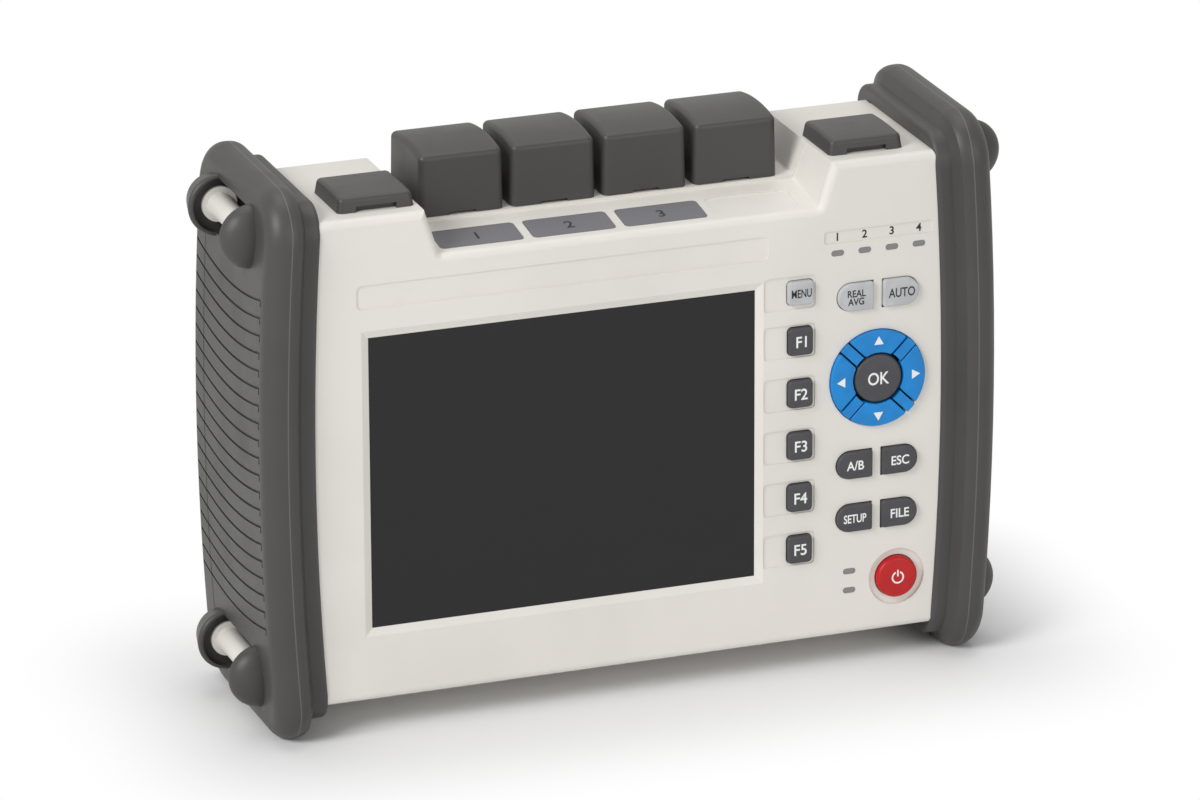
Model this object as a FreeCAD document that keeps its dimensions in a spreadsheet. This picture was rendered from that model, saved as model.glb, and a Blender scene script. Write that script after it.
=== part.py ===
"""Hand-held optical time domain reflectometer, modelled as its separate pieces.

Millimetres, +Z up, +X to the user's right, +Y to the back. The origin is on the surface that the
instrument stands on, below the centre of its bounding box. Every depth in the sheet is measured
backwards from the front panel's face.
"""
import FreeCAD
import Part
import Sketcher
import math
import os
import re

V = FreeCAD.Vector
os.makedirs("parts", exist_ok=True)
doc = FreeCAD.newDocument("Reflectometer")

# ---------------------------------------------------------------- driving dimensions
SIZES = (
    # overall
    ("panel_front", 31.2, "front panel's face in front of the origin"),
    ("wall", 2.5, "wall of the moulded case"),
    ("gap", 0.25, "clearance round a moving key or a seated plate"),
    ("hair", 0.05, "running clearance of pins and screws"),
    ("nest", 0.3, "clearance between curved seats"),
    # case
    ("case_half", 102.4, "half width of the case under the side boots"),
    ("body_half", 95.5, "half width of the case that shows between the boots"),
    ("case_low", 10.4, "underside of the case"),
    ("case_high", 160.6, "top of the shoulders"),
    ("end_depth", 50.0, "depth of the case ends inside the boots"),
    ("split_depth", 54.0, "depth of the joint between front and rear shell"),
    ("edge_round", 2.4, "rounding of the case's long front edges"),
    # bay for the port caps
    ("bay_half_low", 59.5, "half width of the port bay at its lip"),
    ("bay_half_high", 63.7, "half width of the port bay at the shoulders"),
    ("bay_lip", 146.6, "height of the bay's front lip"),
    ("bay_floor", 150.9, "height of the floor under the caps"),
    ("bay_drop", 1.0, "step up from the slope to the level floor"),
    ("bay_step", 21.6, "depth at which the bay floor becomes level"),
    ("bay_round", 1.2, "rounding of the bay's upper edges"),
    # display
    ("view_wide", 120.7, "display opening, width"),
    ("view_high", 90.5, "display opening, height"),
    ("view_left", 81.6, "left edge of the display opening, left of centre"),
    ("view_low", 33.2, "lower edge of the display opening"),
    ("bezel_wide", 2.4, "width of the sloped rim round the display"),
    ("bezel_deep", 1.0, "depth of the sloped rim"),
    ("window_lap", 2.0, "lap of the window behind its lip"),
    ("window_thick", 1.4, "thickness of the display window"),
    ("gasket_thick", 0.8, "thickness of the display gasket"),
    ("lcd_thick", 6.0, "thickness of the display module"),
    # keys
    ("key_proud", 1.3, "height of the keys above the panel"),
    ("key_travel", 0.7, "travel of a key"),
    ("key_flange", 1.2, "thickness of the flange behind the panel"),
    ("key_lap", 1.2, "lap of that flange behind the panel"),
    ("key_edge", 0.45, "rounding of a key's front edge"),
    ("dome_high", 0.3, "height of a rubber dome on the key board"),
    ("key_round", 1.4, "corner rounding of the rectangular keys"),
    ("soft_wide", 7.7, "width of the soft keys"),
    ("soft_high", 8.6, "height of the soft keys"),
    ("soft_column", 53.1, "centre of the soft key column"),
    ("soft_top", 106.4, "centre height of the first soft key"),
    ("soft_pitch", 16.5, "pitch of the soft keys"),
    ("menu_wide", 8.2, "width of the menu key"),
    ("menu_high", 7.4, "height of the menu key"),
    ("menu_row", 121.6, "centre height of the menu key"),
    ("pair_column", 77.9, "centre line of the paired keys"),
    ("pair_gap", 3.1, "gap between the two keys of a pair"),
    ("pair_wide", 11.4, "width of a paired key"),
    ("pair_high", 8.6, "height of a paired key"),
    ("pair_row_top", 118.2, "upper pair, height of its centre"),
    ("pair_row_middle", 65.0, "middle pair, height of its centre"),
    ("pair_row_low", 48.1, "lower pair, height of its centre"),
    ("ring_row", 91.8, "centre height of the navigation ring"),
    ("ring_radius", 15.1, "outer radius of the navigation ring"),
    ("enter_radius", 7.6, "radius of the centre key"),
    ("ring_gap", 0.5, "gap between the navigation keys"),
    ("bar_half", 1.6, "half width of the ring's diagonal bars"),
    ("power_column", 84.7, "centre line of the power key"),
    ("power_row", 27.3, "centre height of the power key"),
    ("power_radius", 6.5, "radius of the power key"),
    ("dish_radius", 9.0, "radius of the dish round the power key"),
    ("dish_deep", 0.9, "depth of that dish"),
    ("band_high", 10.4, "height of the shallow bands beside the display"),
    ("band_deep", 0.35, "depth of the shallow bands and label recesses"),
    # indicators
    ("lamp_wide", 4.1, "width of an indicator window"),
    ("lamp_high", 1.9, "height of an indicator window"),
    ("lamp_first", 65.0, "first upper indicator"),
    ("lamp_pitch", 8.67, "pitch of the upper indicators"),
    ("lamp_row", 132.4, "height of the upper indicators"),
    ("low_lamp_column", 69.4, "column of the two lower indicators"),
    ("low_lamp_row", 30.9, "height of the upper one of the two"),
    ("low_lamp_pitch", 6.1, "pitch of the two lower indicators"),
    ("plate_high", 7.5, "height of the recessed name strip"),
    ("plate_round", 1.8, "corner rounding of the name strip"),
    ("strip_round", 1.0, "corner rounding of the strip over the indicators"),
    ("plate_row", 136.5, "centre height of the name strip"),
    ("plate_left", 85.3, "left end of the name strip, left of centre"),
    ("plate_wide", 128.2, "width of the name strip"),
    ("lamp_strip_wide", 34.7, "width of the strip over the indicators"),
    ("lamp_strip_high", 4.0, "height of the strip over the indicators"),
    ("lamp_strip_row", 137.4, "centre height of the strip over the indicators"),
    # port labels
    ("label_wide", 25.8, "width of a port label plate"),
    ("label_long", 11.3, "depth of a port label plate"),
    ("label_round", 1.4, "corner rounding of a port label plate"),
    ("label_thick", 0.35, "thickness of a port label plate"),
    ("label_first", 9.6, "depth of the label's centre line"),
    # large dust caps
    ("cap_wide", 26.4, "width of a port cap at its foot"),
    ("cap_long", 28.3, "depth of a port cap at its foot"),
    ("cap_high", 20.0, "height of a port cap"),
    ("cap_draft", 0.3, "how far a cap's top edge stands in from its foot"),
    ("cap_crown", 1.6, "rise of the crowned top"),
    ("cap_wall", 2.0, "wall of the port caps"),
    ("cap_round", 2.2, "edge rounding of the port caps"),
    ("cap_pitch", 28.7, "pitch of the port caps"),
    ("cap_left", 58.0, "left side of the first cap, left of centre"),
    ("cap_front", 22.4, "depth of the caps' front face"),
    ("cap_notch_wide", 8.4, "width of the finger notch under a port cap"),
    ("cap_notch_high", 0.8, "height of that notch"),
    ("adapter_depth", 36.5, "depth of the optical adapters' axes"),
    ("adapter_tail", 3.4, "radius of an adapter's tail below the floor"),
    ("adapter_flange", 13.0, "side of an adapter's square flange"),
    ("adapter_radius", 4.0, "radius of an adapter's barrel"),
    ("adapter_high", 9.4, "height of an adapter over the floor"),
    ("ferrule_radius", 1.25, "radius of the bore that takes a ferrule"),
    ("ferrule_deep", 11.0, "depth of that bore"),
    ("moat_deep", 5.0, "depth of the ring round the ferrule bore"),
    ("fold_wide", 10.0, "width of the fold"),
    ("tab_high", 1.1, "height of the tabs behind the caps"),
    ("fold_radius", 0.9, "radius of the rubber fold that hinges a cap"),
    # side caps
    ("lid_wide", 23.6, "width of a side cap"),
    ("lid_long", 23.3, "depth of a side cap"),
    ("lid_high", 4.8, "height of a side cap"),
    ("lid_centre", 76.6, "centre of the side caps from the middle"),
    ("lid_front", 6.4, "depth of the side caps' front face"),
    ("lid_draft", 0.7, "how far a side cap's top edge stands in from its foot"),
    ("lid_crown", 0.5, "rise of a side cap's crowned top"),
    ("lid_round", 1.8, "edge rounding of the side caps"),
    ("lid_wall", 1.6, "wall of the side caps"),
    ("lid_notch_wide", 12.5, "width of a side cap's finger notch"),
    ("lid_notch_high", 1.7, "height of a side cap's finger notch"),
    # side boots
    ("boot_path_front", 4.4, "depth of the boot's path line at the front"),
    ("boot_path_rear", 57.4, "depth of the boot's path line at the rear"),
    ("boot_path_half", 75.4, "half height of the boot's path line"),
    ("boot_middle", 85.05, "height of the boot's middle"),
    ("boot_corner", 4.5, "corner radius of the boot's path line"),
    ("boot_bow", 2.8, "how far the sides bow out at half height"),
    ("boot_inner", 98.5, "inner edge of a boot at half height"),
    ("boot_crest", 108.6, "crest of a boot at half height"),
    ("boot_outer", 115.5, "outer face of a boot at half height"),
    ("boot_lip", 5.6, "height of the boot's inner lip over its path line"),
    ("boot_rise", 10.0, "height of the boot's crest over its path line"),
    ("boot_sunk", 3.0, "how far the boot's section reaches inside its path line"),
    ("panel_sunk", 0.08, "how far the ribbed panel lies below the boot's outer face"),
    ("rib_count", 20, "grooves on a boot's outer face"),
    ("rib_first", 37.8, "height of the lowest groove"),
    ("rib_pitch", 5.37, "pitch of the grooves"),
    ("rib_wide", 0.8, "width of a groove"),
    ("rib_deep", 0.6, "depth of a groove"),
    ("rib_hook", 2.6, "length of a groove's front hook"),
    ("rib_front", 0.8, "depth of the grooves' front ends"),
    ("rib_rear", 62.0, "depth of the grooves' rear ends"),
    ("rib_sag", 3.8, "sag of a groove"),
    # strap eyes
    ("ear_radius", 9.8, "radius of a strap ear"),
    ("ear_dome", 6.0, "length of the front ear's dome"),
    ("ear_thick", 9.0, "thickness of a strap ear"),
    ("ear_reach", 122.2, "outer reach of the strap ears"),
    ("strap_gap", 29.8, "gap between the two ears of an eye"),
    ("strap_depth", 29.1, "depth of the middle of a strap eye"),
    ("strap_high", 154.6, "height of the upper strap bars"),
    ("strap_low", 17.8, "height of the lower strap bars"),
    ("bar_radius", 3.7, "radius of a strap bar"),
    ("bar_collar", 5.4, "radius of the collar at the bar's rear end"),
    ("bar_centre", 112.1, "distance of a strap bar from the middle"),
    ("bar_seat", 1.5, "how far a bar sits in each ear"),
    ("scoop_deep", 4.7, "depth of the scoop behind a strap bar"),
    ("cup_deep", 2.4, "depth of the cup round a bar's collar in the rear ear"),
    ("ear_draft", 2.2, "how much smaller the rear ear's back rim is"),
    ("boot_edge", 6.0, "radius of the boot's outer edge"),
    # rear shell
    ("back_half", 94.0, "half width of the rear shell"),
    ("back_high", 147.0, "top of the rear shell"),
    ("back_depth", 66.0, "depth of the back face"),
    ("back_inset", 6.0, "how far the back face stands in from the rim"),
    ("back_corner", 7.0, "corner radius of the rear shell"),
    ("rim_thick", 3.0, "straight rim of the rear shell"),
    ("foot_radius", 5.5, "radius of a rear foot"),
    ("foot_high", 2.0, "height of a rear foot over the back"),
    ("foot_sunk", 0.8, "how far a foot sits in its seat"),
    ("foot_across", 80.0, "rear feet from the middle"),
    ("foot_low", 31.0, "height of the lower rear feet"),
    ("foot_top", 127.0, "height of the upper rear feet"),
    # battery
    ("door_wide", 118.0, "width of the battery door"),
    ("door_high", 56.0, "height of the battery door"),
    ("door_row", 107.0, "centre height of the battery door"),
    ("door_thick", 2.4, "thickness of the battery door"),
    ("ledge", 3.0, "ledge that the battery door sits on"),
    ("battery_thick", 20.0, "thickness of the battery pack"),
    # stand
    ("stand_wide", 104.0, "width of the fold-out stand"),
    ("stand_high", 50.0, "height of the fold-out stand"),
    ("stand_thick", 4.0, "thickness of the fold-out stand"),
    ("stand_hinge", 71.0, "height of the stand's hinge"),
    ("stand_gap", 0.5, "clearance round the folded stand"),
    ("ear_in", 16.0, "how far the hinge ears stand in from the stand's ends"),
    ("hinge_ear", 6.0, "width of a hinge ear"),
    ("stand_pin", 1.5, "radius of the stand's hinge pin"),
    ("stand_slot_wide", 64.0, "width of the finger opening in the stand"),
    ("stand_slot_high", 20.0, "height of that opening"),
    # fasteners and insides
    ("screw_radius", 1.5, "radius of the case screws"),
    ("screw_head", 2.8, "head radius of the case screws"),
    ("head_high", 1.8, "height of a screw head"),
    ("screw_sunk", 3.0, "depth of a case screw's head seat"),
    ("door_screw", 6.0, "length of a door screw under its head"),
    ("screw_across", 72.0, "case screws from the middle"),
    ("screw_low", 19.0, "height of the lower case screws"),
    ("screw_top", 138.0, "height of the upper case screws"),
    ("screw_long", 18.0, "length of the case screws"),
    ("post_radius", 1.6, "radius of the posts under the key board"),
    ("boss_radius", 4.0, "radius of the screw bosses"),
    ("board_depth", 22.0, "depth of the main board's front"),
    ("board_thick", 1.6, "thickness of the circuit boards"),
    ("pad_depth", 4.8, "depth of the key pad's front"),
)

sheet = doc.addObject("Spreadsheet::Sheet", "Size")
for row, (alias, amount, meaning) in enumerate(SIZES, start=1):
    sheet.set("A%d" % row, meaning)
    sheet.set("B%d" % row, str(amount))
    sheet.setAlias("B%d" % row, alias)
doc.recompute()


ALIASES = {alias for alias, _, _ in SIZES}
working = doc.addObject("Spreadsheet::Sheet", "Working")
VALUES = {}


def size(alias):
    """A driving dimension, read back from the sheet."""
    return float(sheet.get(alias))


def tied(formula):
    """The formula with each dimension's name pointing at its cell in the sheet."""
    return re.sub(r"[a-z_]+", lambda word: "Size." + word[0] if word[0] in ALIASES else word[0], formula)


def bind(thing, prop, formula):
    """Ties a property of a document object to the sheet."""
    thing.setExpression(prop, tied(formula))


def behind(depth):
    """Formula for the Y of a point that lies this deep behind the panel's face."""
    return "(%s) - panel_front" % depth


# ---------------------------------------------------------------- sketches and features
def new_body(label):
    body = doc.addObject("PartDesign::Body", label)
    body.Label = label
    return body


def new_sketch(body, role, across="0", up="0", out="0"):
    """A sketch on one of the body's own origin planes, moved by three formulas."""
    sketch = body.newObject("Sketcher::SketchObject", body.Label + "_outline")
    base = [feature for feature in body.Origin.OriginFeatures if feature.Role == role][0]
    sketch.AttachmentSupport = [(base, "")]
    sketch.MapMode = "FlatFace"
    bind(sketch, "AttachmentOffset.Base.x", across)
    bind(sketch, "AttachmentOffset.Base.y", up)
    bind(sketch, "AttachmentOffset.Base.z", out)
    return sketch


def facing(body, across, up, depth):
    """A sketch parallel to the front panel, its origin at a place on it and a depth behind it."""
    return new_sketch(body, "XZ_Plane", across, up, "-(%s)" % behind(depth))


def profile(body, out="0"):
    """A sketch of the side view: right is depth behind the panel, up is height."""
    return new_sketch(body, "YZ_Plane", behind("0"), "0", out)


def flat(body, across, depth, height):
    """A sketch seen from above, its origin at a place and a height."""
    return new_sketch(body, "XY_Plane", across, behind(depth), height)


def worth(formula):
    """The present value of a formula, read through a cell of the working sheet."""
    if formula not in VALUES:
        working.set("A1", "=" + tied(formula))
        working.recompute()
        VALUES[formula] = float(working.get("A1"))
    return VALUES[formula]


def measure(sketch, kind, places, formula):
    """A dimension of a sketch, tied to the sheet."""
    index = sketch.addConstraint(Sketcher.Constraint(kind, *places, worth(formula)))
    bind(sketch, "Constraints[%d]" % index, formula)


def line(sketch, start, end):
    return sketch.addGeometry(Part.LineSegment(V(*start), V(*end)))


def relate(sketch, kind, *places):
    sketch.addConstraint(Sketcher.Constraint(kind, *places))


def by_threes(items):
    """Splits a list into threes, so that each sketch stays small."""
    return [items[start:start + 3] for start in range(0, len(items), 3)]


def centre_of(sketch, spot):
    """What an outline is centred on, the origin or a point at a pair of formulas, and where that is."""
    if spot is None:
        return (-1, 1), V()
    place = V(worth(spot[0]), worth(spot[1]), 0)
    point = sketch.addGeometry(Part.Point(place), True)
    for kind, formula in zip(("DistanceX", "DistanceY"), spot):
        if worth(formula) == 0:
            relate(sketch, "PointOnObject", point, 1, -2 if kind == "DistanceX" else -1)
        else:
            measure(sketch, kind, (-1, 1, point, 1), formula)
    return (point, 1), place


def draw_rectangle(sketch, wide, high, spot=None):
    """A rectangle centred on the sketch's origin or on a spot."""
    middle, place = centre_of(sketch, spot)
    right, top = worth("(%s) / 2" % wide), worth("(%s) / 2" % high)
    corners = [place + V(*corner) for corner in ((-right, -top), (right, -top), (right, top), (-right, top))]
    sides = [line(sketch, corners[i], corners[(i + 1) % 4]) for i in range(4)]
    for i in range(4):
        relate(sketch, "Coincident", sides[i], 2, sides[(i + 1) % 4], 1)
        relate(sketch, ("Horizontal", "Vertical")[i % 2], sides[i])
    relate(sketch, "Symmetric", sides[0], 1, sides[1], 2, *middle)
    measure(sketch, "DistanceX", (sides[0], 1, sides[0], 2), wide)
    measure(sketch, "DistanceY", (sides[1], 1, sides[1], 2), high)


def draw_rounded(sketch, wide, high, radius, spot=None):
    """A rectangle with rounded corners, centred on the sketch's origin or on a spot."""
    middle, place = centre_of(sketch, spot)
    bend = worth(radius)
    reach, rise = worth("(%s) / 2 - (%s)" % (wide, radius)), worth("(%s) / 2 - (%s)" % (high, radius))
    arcs = []
    for i, (right, top) in enumerate(((1, 1), (-1, 1), (-1, -1), (1, -1))):
        circle = Part.Circle(place + V(right * reach, top * rise, 0), V(0, 0, 1), bend)
        arcs.append(sketch.addGeometry(Part.ArcOfCircle(circle, i * math.pi / 2, (i + 1) * math.pi / 2)))
    ends = [sketch.getPoint(arc, 2) for arc in arcs]
    starts = [sketch.getPoint(arc, 1) for arc in arcs]
    for i in range(4):
        following = (i + 1) % 4
        side = line(sketch, ends[i], starts[following])
        relate(sketch, "Tangent", arcs[i], 2, side, 1)
        relate(sketch, "Tangent", side, 2, arcs[following], 1)
        relate(sketch, ("Horizontal", "Vertical")[i % 2], side)
        if i:
            relate(sketch, "Equal", arcs[0], arcs[i])
    relate(sketch, "Symmetric", arcs[0], 3, arcs[2], 3, *middle)
    measure(sketch, "Radius", (arcs[0],), radius)
    measure(sketch, "DistanceX", (arcs[1], 3, arcs[0], 3), "(%s) - 2 * (%s)" % (wide, radius))
    measure(sketch, "DistanceY", (arcs[3], 3, arcs[0], 3), "(%s) - 2 * (%s)" % (high, radius))


def draw_half_round(sketch, wide, high, side, spot=None):
    """A plate whose right (side 1) or left (side -1) end is a half circle."""
    middle, place = centre_of(sketch, spot)
    bend, reach = worth("(%s) / 2" % high), worth("(%s) / 2" % wide)
    corner, centre = -side * reach, side * (reach - bend)
    turn = -math.pi / 2 if side > 0 else math.pi / 2
    circle = Part.Circle(place + V(centre, 0, 0), V(0, 0, 1), bend)
    arc = sketch.addGeometry(Part.ArcOfCircle(circle, turn, turn + math.pi))
    first, last = (1, 2) if side > 0 else (2, 1)
    low = line(sketch, place + V(corner, -bend), place + V(centre, -bend))
    top = line(sketch, place + V(centre, bend), place + V(corner, bend))
    flat_end = line(sketch, place + V(corner, bend), place + V(corner, -bend))
    relate(sketch, "Tangent", low, 2, arc, first)
    relate(sketch, "Tangent", top, 1, arc, last)
    relate(sketch, "Coincident", top, 2, flat_end, 1)
    relate(sketch, "Coincident", flat_end, 2, low, 1)
    relate(sketch, "Horizontal", low)
    relate(sketch, "Horizontal", top)
    relate(sketch, "Vertical", flat_end)
    relate(sketch, "Horizontal", arc, 3, *middle)
    measure(sketch, "DistanceY", (flat_end, 2, flat_end, 1), high)
    for target, formula in ((middle, "(%s) / 2" % wide), ((arc, 3), "(%s) - (%s) / 2" % (wide, high))):
        ends = (flat_end, 1) + target if side > 0 else target + (flat_end, 1)
        measure(sketch, "DistanceX", ends, formula)


def draw_circle(sketch, radius, spot=None):
    middle, place = centre_of(sketch, spot)
    ring = sketch.addGeometry(Part.Circle(place, V(0, 0, 1), worth(radius)))
    relate(sketch, "Coincident", ring, 3, *middle)
    measure(sketch, "Radius", (ring,), radius)


def extrude(kind, sketch, length, reverse=False, both=False, refine=False):
    """A pad or pocket of a sketch; both spreads it evenly to the two sides."""
    body = sketch.getParentGeoFeatureGroup()
    feature = body.newObject("PartDesign::" + kind, "%s_%s" % (body.Label, kind.lower()))
    feature.Profile = sketch
    feature.SideType = "Symmetric" if both else "One side"
    feature.Reversed = reverse
    feature.Refine = refine
    bind(feature, "Length", length)
    sketch.Visibility = False
    return feature


def pad_back(sketch, length):
    """A pad that grows backwards from a sketch parallel to the panel."""
    return extrude("Pad", sketch, length, reverse=True)


def cut_back(sketch, length):
    """A pocket that goes backwards from a sketch parallel to the panel."""
    return extrude("Pocket", sketch, length)


def add_round_row(body, spots, radius, depth, length):
    """Round bosses that grow backwards from one depth."""
    bosses = facing(body, "0", "0", depth)
    for spot in spots:
        draw_circle(bosses, radius, spot)
    return pad_back(bosses, length)


def bore_round_row(body, spots, radius, depth, length):
    """Round holes drilled forwards from one depth."""
    holes = facing(body, "0", "0", depth)
    for spot in spots:
        draw_circle(holes, radius, spot)
    return extrude("Pocket", holes, length, reverse=True)


def edges_of(body, test):
    """Names of the edges of a body's present shape that pass a test."""
    doc.recompute()
    edges = body.Tip.Shape.Edges
    return ["Edge%d" % (i + 1) for i, edge in enumerate(edges) if test(edge)]


def dress(kind, body, names, formula):
    """A fillet or chamfer on the named edges of a body's present shape."""
    base = body.Tip
    feature = body.newObject("PartDesign::" + kind, "%s_%s" % (body.Label, kind.lower()))
    feature.Base = (base, names)
    bind(feature, "Radius" if kind == "Fillet" else "Size", formula)
    return feature


def runs_along(edge, axis):
    """True for a straight edge parallel to an axis."""
    if not isinstance(edge.Curve, (Part.Line, Part.LineSegment)):
        return False
    return abs(edge.tangentAt(edge.FirstParameter).dot(axis)) > 0.999


def lies_at(edge, coordinate, place):
    """True for an edge whose every point has this coordinate (0, 1 or 2)."""
    box = edge.BoundBox
    low, high = ((box.XMin, box.XMax), (box.YMin, box.YMax), (box.ZMin, box.ZMax))[coordinate]
    return abs(low - place) < 0.01 and abs(high - place) < 0.01


# ---------------------------------------------------------------- primitives
TOWARDS_BACK = FreeCAD.Rotation(V(1, 0, 0), -90)
TOWARDS_RIGHT = FreeCAD.Rotation(V(0, 1, 0), 90)


def place(thing, across, depth, height, turn=None):
    """Puts an object at a place given by three formulas, with a fixed turn."""
    thing.Placement = FreeCAD.Placement(V(), turn or FreeCAD.Rotation())
    bind(thing, "Placement.Base.x", across)
    bind(thing, "Placement.Base.y", behind(depth))
    bind(thing, "Placement.Base.z", height)


def block(label, across, depth, height, wide, deep, high):
    """A box given by its centre across, its front face's depth and its underside's height."""
    box = doc.addObject("Part::Box", label)
    bind(box, "Length", wide)
    bind(box, "Width", deep)
    bind(box, "Height", high)
    place(box, "(%s) - (%s) / 2" % (across, wide), depth, height)
    return box


def rod(label, across, depth, height, radius, long, turn=TOWARDS_BACK):
    """A cylinder that starts at a place and, unless turned otherwise, runs backwards."""
    cylinder = doc.addObject("Part::Cylinder", label)
    bind(cylinder, "Radius", radius)
    bind(cylinder, "Height", long)
    place(cylinder, across, depth, height, turn)
    return cylinder


def joined(label, pieces):
    fuse = doc.addObject("Part::MultiFuse", label)
    fuse.Shapes = pieces
    return fuse


def grouped(label, pieces):
    """Separate solids that share one node."""
    group = doc.addObject("Part::Compound", label)
    group.Links = pieces
    return group


def cut(label, base, tool):
    result = doc.addObject("Part::Cut", label)
    result.Base = base
    result.Tool = tool
    return result


def common(label, first, second):
    result = doc.addObject("Part::MultiCommon", label)
    result.Shapes = [first, second]
    return result


# ---------------------------------------------------------------- front shell
BAND_LEFT = "(view_wide - view_left + bezel_wide)"
BAND_RIGHT = "(soft_column + soft_wide / 2 + gap + 0.8)"
VIEW_ACROSS = "view_wide / 2 - view_left"
VIEW_UP = "view_low + view_high / 2"
CASE_TALL = "case_high - case_low"
CASE_MIDDLE = "(case_high + case_low) / 2"
CAVITY_LOW = "case_low + wall"
CAVITY_HIGH = "bay_lip - wall"


def draw_bay(sketch, floor):
    """The port bay's section: a drafted channel with rounded floor corners, open at the top."""
    low, high, bend = size("bay_half_low"), size("bay_half_high"), size("bay_round")
    level, top = size("bay_lip"), size("case_high")
    left = Part.Circle(V(bend - low, level + bend, 0), V(0, 0, 1), bend)
    right = Part.Circle(V(low - bend, level + bend, 0), V(0, 0, 1), bend)
    left_bend = sketch.addGeometry(Part.ArcOfCircle(left, math.pi * 1.1, math.pi * 1.5))
    right_bend = sketch.addGeometry(Part.ArcOfCircle(right, math.pi * 1.5, math.pi * 1.9))
    base = line(sketch, (bend - low, level), (low - bend, level))
    right_wall = line(sketch, (low, level + bend), (high, top))
    mouth = line(sketch, (high, top), (-high, top))
    left_wall = line(sketch, (-high, top), (-low, level + bend))
    relate(sketch, "Tangent", left_bend, 2, base, 1)
    relate(sketch, "Tangent", base, 2, right_bend, 1)
    relate(sketch, "Tangent", right_bend, 2, right_wall, 1)
    relate(sketch, "Coincident", right_wall, 2, mouth, 1)
    relate(sketch, "Coincident", mouth, 2, left_wall, 1)
    relate(sketch, "Tangent", left_wall, 2, left_bend, 1)
    relate(sketch, "Horizontal", base)
    relate(sketch, "Symmetric", mouth, 1, mouth, 2, -2)
    relate(sketch, "Symmetric", left_bend, 3, right_bend, 3, -2)
    measure(sketch, "Radius", (left_bend,), "bay_round")
    measure(sketch, "DistanceX", (left_bend, 3, right_bend, 3), "2 * (bay_half_low - bay_round)")
    measure(sketch, "DistanceX", (mouth, 2, mouth, 1), "2 * bay_half_high")
    measure(sketch, "DistanceY", (-1, 1, base, 1), floor)
    measure(sketch, "DistanceY", (-1, 1, mouth, 1), "case_high + nest")


def loft(kind, first, second):
    body = first.getParentGeoFeatureGroup()
    feature = body.newObject("PartDesign::" + kind, body.Label + "_loft")
    feature.Profile = first
    feature.Sections = [second]
    feature.Ruled = True
    feature.Refine = False
    first.Visibility = second.Visibility = False
    return feature


def key_outline(sketch, form, wide, high, grow="0", spot=None):
    """A key's outline, or its hole when it is grown by a clearance."""
    grown = ["%s + 2 * (%s)" % (extent, grow) for extent in (wide, high)]
    if form == "round":
        draw_circle(sketch, "(%s) / 2" % grown[0], spot)
    elif form == "plate":
        draw_rounded(sketch, grown[0], grown[1], "key_round + %s" % grow, spot)
    else:
        draw_half_round(sketch, grown[0], grown[1], -1 if form == "left" else 1, spot)


PAIR_SIDE = "(pair_gap + pair_wide) / 2"
KEYS = [("menu_key", "plate", "soft_column", "menu_row", "menu_wide", "menu_high")]
for number in range(5):
    KEYS.append(("soft_key_%d" % (number + 1), "plate", "soft_column",
                 "soft_top - %d * soft_pitch" % number, "soft_wide", "soft_high"))
for left_name, right_name, pair_row in (("average_key", "auto_key", "pair_row_top"),
                                        ("marker_key", "escape_key", "pair_row_middle"),
                                        ("setup_key", "file_key", "pair_row_low")):
    KEYS.append((left_name, "left", "pair_column - " + PAIR_SIDE, pair_row, "pair_wide", "pair_high"))
    KEYS.append((right_name, "right", "pair_column + " + PAIR_SIDE, pair_row, "pair_wide", "pair_high"))
KEYS.append(("power_key", "round", "power_column", "power_row", "2 * power_radius", "2 * power_radius"))

LAMPS = [("lamp_first + %d * lamp_pitch" % number, "lamp_row") for number in range(4)]
LAMPS += [("low_lamp_column", "low_lamp_row - %d * low_lamp_pitch" % number) for number in range(2)]

SCREWS = [("%d * screw_across" % side, row) for side in (-1, 1) for row in ("screw_low", "screw_top")]
PAD_POSTS = (("60.8", "110.6"), ("61.0", "56.6"), ("92.6", "110.6"), ("92.6", "56.6"))
LABEL_SLOPE = "(bay_floor - bay_drop - bay_lip) / bay_step"
CAP_PLACES = ["cap_wide / 2 - cap_left + %d * cap_pitch" % number for number in range(4)]
LAN = {"across": "lid_centre", "depth": "18", "wide": "16", "long": "13.4", "deep": "14"}
USB = {"across": "-lid_centre", "depth": "12.4", "wide": "14.4", "long": "7", "deep": "12"}
DC_DEPTH = "21.8"
DC_RADIUS = "4.4"


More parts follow.
